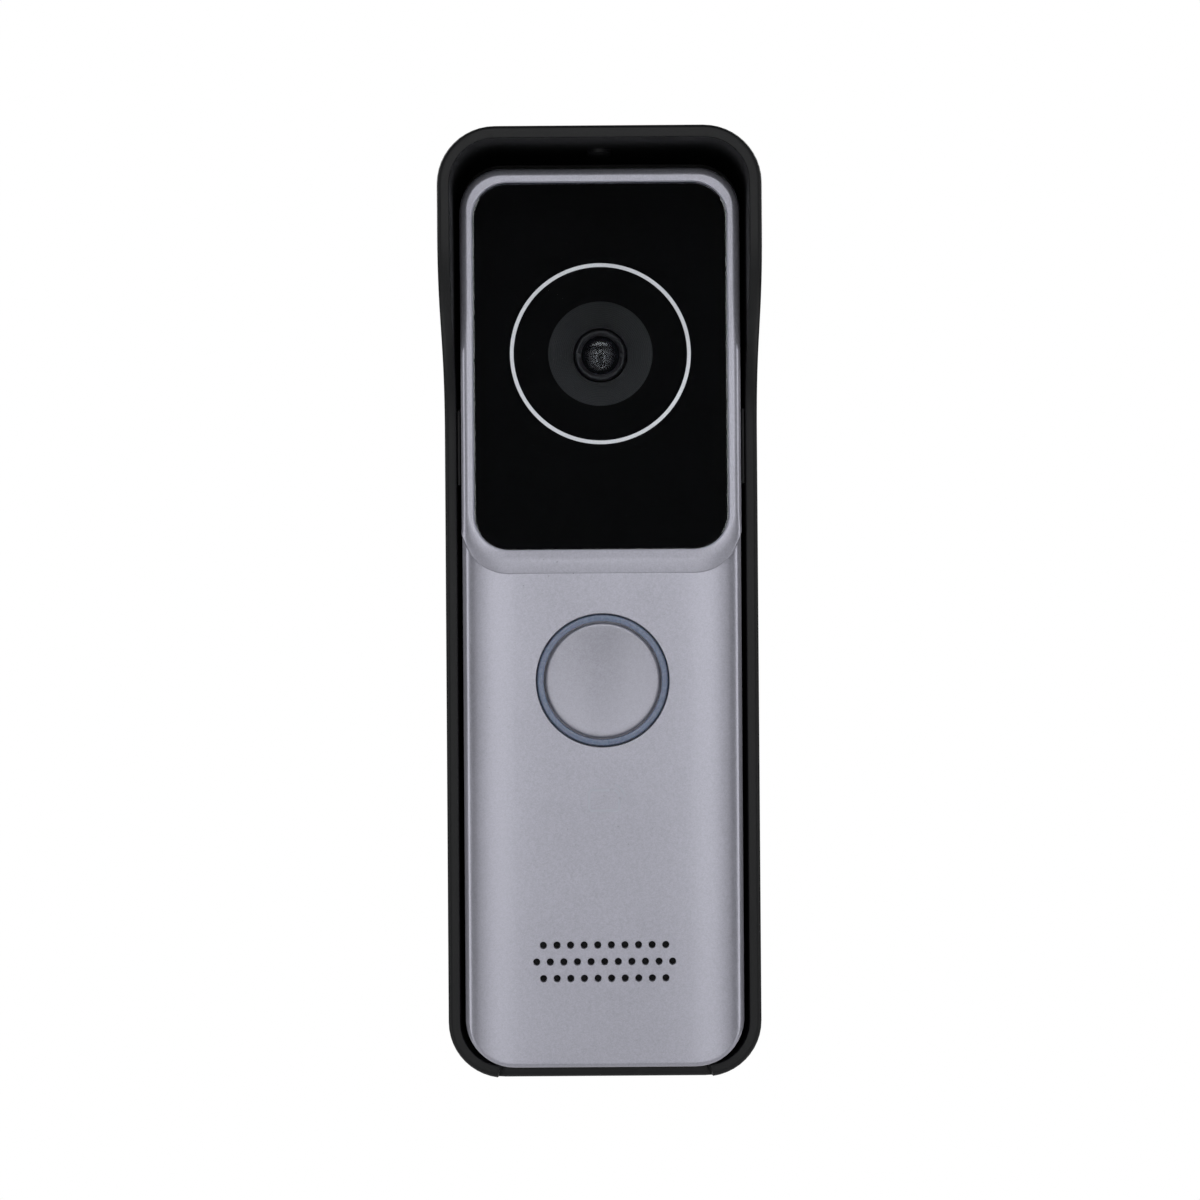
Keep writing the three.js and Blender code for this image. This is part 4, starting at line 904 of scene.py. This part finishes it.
# %% Baffle, barrel and lens
CONE_FRONT, CONE_LENGTH, CONE_FOOT, RIDGES, RIDGE_HEIGHT = 26.0, 4.3, 4.3, 14, 0.07
cone = []
for i in range(RIDGES):
    high, low = i / RIDGES, (i + 0.55) / RIDGES
    for share, out in ((high, 0.0), (low, 0.0), (low, RIDGE_HEIGHT)):
        radius = LENS_WINDOW - (LENS_WINDOW - CONE_FOOT) * share - out
        cone.append((radius, CONE_FRONT - CONE_LENGTH * share))
baffle = cone + [(CONE_FOOT, 21.7), (CONE_FOOT, 18.1), (5.2, 18.1), (5.2, 21.2), (8.95, CONE_FRONT)]
finished("shade_cone", turned(baffle, 0, LENS_Z, 96, closed=True), "root", baffle_black,
         ["lens_baffle_cone"])
BARREL = 4.0
barrel = [
    (BARREL, 12.2), (BARREL, 21.6), (3.3, 21.6), (3.3, 19.3), (2.3, 19.3), (2.3, 15.4), (2.9, 15.4),
    (2.9, 12.2),
]
finished("turned_barrel", turned(barrel, 0, LENS_Z, 72, closed=True), "root", barrel_black,
         ["lens_barrel"], bevel=0.06)
collar_section = [(3.0, 21.7), (3.95, 21.7), (BARREL, 22.1), (3.75, 22.38), (3.55, 22.4), (3.1, 22.15)]
collar = turned(collar_section, 0, LENS_Z, 72, closed=True)
notches = [block(x - 0.35, x + 0.35, 22.0, 23, LENS_Z - 0.3, LENS_Z + 0.3) for x in (-3.4, 3.4)]
finished("lens_collar", shaped(collar, notches), "root", barrel_black,
         ["lens_retaining_ring"], bevel=0.03)
ELEMENT, ELEMENT_REAR, DOME_FOOT, DOME_HEIGHT = 3.1, 19.5, 20.6, 1.3
dome = [
    (ELEMENT * math.cos(math.radians(a)), DOME_FOOT + DOME_HEIGHT * math.sin(math.radians(a)))
    for a in range(0, 90, 6)
]
lens = [(0, ELEMENT_REAR), (ELEMENT, ELEMENT_REAR), *dome, (0, DOME_FOOT + DOME_HEIGHT)]
finished("lens_dome", turned(lens, 0, LENS_Z, 72), "root", lens_glass,
         ["lens_front_element"], sharp=50)

# %% [markdown]
# ## The call button
# The button is a dished cap with a rounded rim, painted as the cover is. It sits in a translucent ring
# that glows when pressed, and there is a hair's breadth of dark gap on both sides of the ring. The cap
# rides on the body that moves when it is pressed; the ring stays with the housing.

# %% Button cap and light ring
CAP, RIM, DISH, DISH_FLOOR = 9.0, 8.45, 0.6, 25.0
FLANGE, FLANGE_REAR, FLANGE_FRONT = 9.7, 22.9, 23.8
STEM, STEM_REAR = 2.0, 20.2

curve = (RIM ** 2 + DISH ** 2) / (2 * DISH)
dish = [(r, DISH_FLOOR + curve - math.sqrt(curve ** 2 - r * r)) for r in [RIM * i / 16 for i in range(17)]]
shoulder = [
    (RIM + 0.55 * math.sin(math.radians(a)), 25.15 + 0.47 * math.cos(math.radians(a)))
    for a in (20, 40, 60, 78, 90)
]
cap = [
    *dish, *shoulder, (CAP, FLANGE_FRONT), (FLANGE, FLANGE_FRONT), (FLANGE, FLANGE_REAR),
    (8.2, FLANGE_REAR), (8.2, 23.7), (STEM, 23.7), (STEM, STEM_REAR), (0, STEM_REAR),
]
finished("dished_button", turned(cap, 0, BUTTON_Z, 144), "call_button", button_silver,
         ["button_cap"], sharp=40)
guide = [
    (9.25, 24.1), (9.25, 25.62), (9.3, 25.7), (9.4, 25.75), (10.05, 25.75), (10.15, 25.7), (10.2, 25.62),
    (10.2, 24.1), (12.4, 24.1), (12.4, 22.8), (11.3, 22.8), (11.3, 17.4), (10.1, 17.4), (10.1, 24.1),
]
finished("glow_ring", turned(guide, 0, BUTTON_Z, 144, closed=True), "root", light_guide,
         ["button_light_ring"], sharp=40)

# %% [markdown]
# ## The card sign
# Below the button a small sign shows where a card is held: a round-cornered card outline with one open
# corner, and two waves coming out of it. It is ink a few hundredths of a millimetre thick, so it is made as
# thin raised shapes that just break the surface.

# %% Printed sign
INK_REAR, INK_FRONT, STROKE = 25.9, 26.02, 0.36
SIGN_LEFT, SIGN_RIGHT, SIGN_BOTTOM, SIGN_TOP = -2.24, 2.45, -31.57, -28.37
WAVE_X, WAVE_Z = 1.28, -29.54


def card(grow, rear, front, radius):
    """The card's outline, grown by half a stroke outwards or inwards."""
    half, centre = (SIGN_RIGHT - SIGN_LEFT) / 2, (SIGN_RIGHT + SIGN_LEFT) / 2
    bottom, top = SIGN_BOTTOM - grow, SIGN_TOP + grow
    return plate(half + grow, bottom, top, rear, front, radius, steps=6, across=centre)


sign = shaped(card(STROKE / 2, INK_REAR, INK_FRONT, 0.65), [card(-STROKE / 2, 25, 27, 0.3)])
sign = shaped(sign, [block(0.94, 4, 25, 27, -29.8, -27)])
for radius in (1.25, 2.02):
    low, high = radius - STROKE / 2, radius + STROKE / 2
    section = [(low, INK_REAR), (high, INK_REAR), (high, INK_FRONT), (low, INK_FRONT)]
    wave = turned(section, WAVE_X, WAVE_Z, 72, closed=True)
    start, end = math.radians(4), math.radians(76)
    for angle, keep in ((start, 1), (end, -1)):
        normal = Vector((-math.sin(angle), 0, math.cos(angle))) * keep
        cut_through(wave, at(WAVE_X, 0, WAVE_Z), normal, clear_inner=True)
    cut_edges = [e for e in wave.edges if len(e.link_faces) == 1]
    bmesh.ops.holes_fill(wave, edges=cut_edges, sides=8)
    tidy(wave)
    mesh = bpy.data.meshes.new("wave")
    wave.to_mesh(mesh)
    wave.free()
    sign.from_mesh(mesh)
finished("card_sign", sign, "root", sign_ink)

# %% [markdown]
# ## Screw, grommet and terminals
# Below, a zinc-plated screw holds the housing in the hood. At the back, a rubber grommet lines the cable
# opening, and behind it are the terminal block's wire holes, each with a clamping screw.

# %% Retaining screw
foot_z = -HOOD_HIGH
screw_profile = [
    (0, foot_z + 0.15), (2.6, foot_z + 0.15), (2.8, foot_z + 0.25), (1.4, foot_z + 1.5),
    (1.4, foot_z + 2.0),
]
thread_turns = 9
for i in range(thread_turns):
    start = foot_z + 2.2 + i * 0.75
    screw_profile += [(1.05, start), (1.4, start + 0.32), (1.05, start + 0.64)]
screw_profile += [(0.9, foot_z + 9.2), (0, foot_z + 10)]
screw = turned(screw_profile, 0, SCREW_DEPTH, 40, upright=True)
slot_tool = block(-4, 4, SCREW_DEPTH - 0.3, SCREW_DEPTH + 0.3, foot_z - 1, foot_z + 0.75)
finished("slotted_screw", shaped(screw, [slot_tool]), "root", zinc, ["retaining_screw"], sharp=40)

# %% Grommet and terminals
def cable_outline(inset, rear, front, radius):
    """A plate inside the hood's cable opening, drawn in by an inset."""
    return plate(
        CABLE_HALF - inset, CABLE_BOTTOM + inset, CABLE_TOP - inset, rear, front, radius, steps=8,
    )


grommet = shaped(cable_outline(0.3, 0.1, HOOD_PLATE - 0.05, 2.7), [cable_outline(1.7, -1, 4, 1.6)])
finished("edge_grommet", grommet, "root", rubber_black, ["cable_grommet"], bevel=0.3)

TERMINALS, CLAMP_Z = (-7.5, -2.5, 2.5, 7.5), -22.5
strip = block(-10, 10, 5, 14.5, -30, -20)
grooves = [block(x - 0.15, x + 0.15, 4, 5.4, -31, -19) for x in (-5, 0, 5)]
pockets = [block(x - 1.7, x + 1.7, 4, 10, -29, -25.6) for x in TERMINALS]
wells = [drilled(1.6, 4, 8, x, CLAMP_Z, 32) for x in TERMINALS]
strip = shaped(strip, grooves)
strip = shaped(strip, pockets + wells)
finished("terminal_strip", strip, "root", terminal_green, ["terminal_block"],
         bevel=0.12)
heads = bmesh.new()
for x in TERMINALS:
    head = turned([(0, 6.2), (1.2, 6.2), (1.4, 6.4), (1.4, 8.05), (0, 8.05)], x, CLAMP_Z, 32)
    head = shaped(head, [block(x - 2, x + 2, 5, 6.75, CLAMP_Z - 0.25, CLAMP_Z + 0.25)])
    mesh = bpy.data.meshes.new("head")
    head.to_mesh(mesh)
    head.free()
    heads.from_mesh(mesh)
finished("clamp_screws", heads, "root", zinc, sharp=40)

# %% [markdown]
# ## Finishes for the CAD parts that stay
# The rest of the parts are hidden or nearly so, and their CAD shape is right, so they only take a
# finish. Each one is chosen by the part it is on.

# %% Give the CAD parts their finishes
CAD_FINISHES = {
    shell_black: ["rear_shell"],
    rubber_black: ["case_seal", "speaker_gasket", "microphone_boot"],
    silicone_grey: ["button_seal"],
    baffle_black: ["lens_mount", "glass_tape"],
    chip_black: [
        "main_processor", "memory_chip", "supply_inductor", "reset_switch", "call_switch_body",
        "light_sensor", "image_sensor", "ir_cut_frame", "speaker_frame",
    ],
    tinned: ["wifi_shield_can", "supply_capacitor", "microphone"],
    copper: ["wifi_antenna", "ir_cut_coil"],
    zinc: [
        "case_screw_1", "case_screw_2", "case_screw_3", "case_screw_4", "board_screw_1", "board_screw_2",
        "camera_screw_1", "camera_screw_2", "speaker_magnet",
    ],
    white_plastic: [
        "call_switch_plunger", "reset_key", "camera_ribbon", "ring_led_1", "ring_led_2", "ring_led_3",
        "ring_led_4",
    ],
    board_green: ["main_board", "camera_board", "ir_board", "card_antenna"],
    cone_paper: ["speaker_cone"],
    mesh_cloth: ["grille_mesh"],
    lens_glass: ["lens_rear_element", "ir_cut_carriage", "ir_led_left", "ir_led_right"],
}
dressed = set()
for material, names in CAD_FINISHES.items():
    for name in names:
        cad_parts[name].material_slots[0].material = material
        dressed.add(name)
shown = {name for name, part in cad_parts.items() if not part.hide_render}
print("CAD parts shown:", len(shown), "without a finish:", sorted(shown - dressed))

# %% [markdown]
# ## Floor, sky and lamps
# The object is shown against plain white, so the sky is white where the camera sees it and nearly black
# for everything else, which keeps the blacks black. The floor lies well below, out of the main view.
# Soft lamps stand on an arc round the face, the same on both sides: three in front, from a narrow strip
# near the middle to a broad one, light the flat and the crown of the face, a far one catches the lips
# and the sides, and one behind outlines the back. Of the three in the middle, the brow and the overhead
# light what faces up, and the chin what faces down. None stands straight in front, where the window
# would mirror it.

# %% Floor
floor = bpy.data.objects.new("floor", bpy.data.meshes.new("floor"))
bm = bmesh.new()
bmesh.ops.create_grid(bm, x_segments=1, y_segments=1, size=0.3)
bmesh.ops.translate(bm, verts=bm.verts, vec=(0, 0, -0.16))
bm.to_mesh(floor.data)
bm.free()
bpy.context.scene.collection.objects.link(floor)
floor.data.materials.append(finish(
    "pale_floor", (0.72, 0.72, 0.72), (0.78, 0.78, 0.78), rough=(0.7, 0.85), grain=2.0, blotch=60.0,
    bump=(0.1, 0.05),
))

# %% Sky and lamps
world = bpy.data.worlds.new("world")
bpy.context.scene.world = world
world.use_nodes = True
sky = world.node_tree
sky.nodes.clear()
seen = node(sky, "ShaderNodeBackground", Color=(1, 1, 1, 1), Strength=1.0)
felt = node(sky, "ShaderNodeBackground", Color=(0.95, 0.97, 1.0, 1), Strength=0.01)
camera_ray = node(sky, "ShaderNodeLightPath").outputs["Is Camera Ray"]
both = node(sky, "ShaderNodeMixShader", i0=camera_ray, i1=felt.outputs[0], i2=seen.outputs[0])
output = node(sky, "ShaderNodeOutputWorld")
sky.links.new(both.outputs[0], output.inputs["Surface"])


LAMP_DISTANCE = 0.85
FACE_CENTRE = Vector((0, -0.026, 0))


def around(azimuth, elevation):
    """A place in front of the face, turned to the side and raised by degrees."""
    a, e = math.radians(azimuth), math.radians(elevation)
    ray = Vector((math.sin(a) * math.cos(e), -math.cos(a) * math.cos(e), math.sin(e)))
    return FACE_CENTRE + ray * LAMP_DISTANCE


def softbox(name, where, size, power):
    lamp = bpy.data.lights.new(name, "AREA")
    lamp.shape = "RECTANGLE"
    lamp.size, lamp.size_y = size
    lamp.energy = power
    stand = bpy.data.objects.new(name, lamp)
    bpy.context.scene.collection.objects.link(stand)
    stand.location = where
    stand.rotation_euler = (FACE_CENTRE - where).to_track_quat("-Z", "Y").to_euler()
    stand.visible_camera = False
    print(f"{name}: {power} W at", tuple(round(v, 2) for v in where))
    return stand


softbox("brow", around(0, 17), (0.4, 0.07), 0.29)
softbox("overhead", around(0, 42), (0.6, 0.2), 1.45)
softbox("chin", around(0, -28), (0.4, 0.1), 0.34)
for side, turn in (("left", -1), ("right", 1)):
    softbox(f"front_{side}", around(turn * 9, 0), (0.06, 0.5), 0.395)
    softbox(f"near_{side}", around(turn * 17, 0), (0.1, 0.6), 0.3)
    softbox(f"middle_{side}", around(turn * 29, 0), (0.16, 0.7), 0.24)
    softbox(f"far_{side}", around(turn * 75, 0), (0.3, 0.8), 1.39)
    softbox(f"behind_{side}", around(turn * 145, 25), (0.5, 0.5), 4.0)
bpy.context.scene.view_settings.view_transform = "Standard"
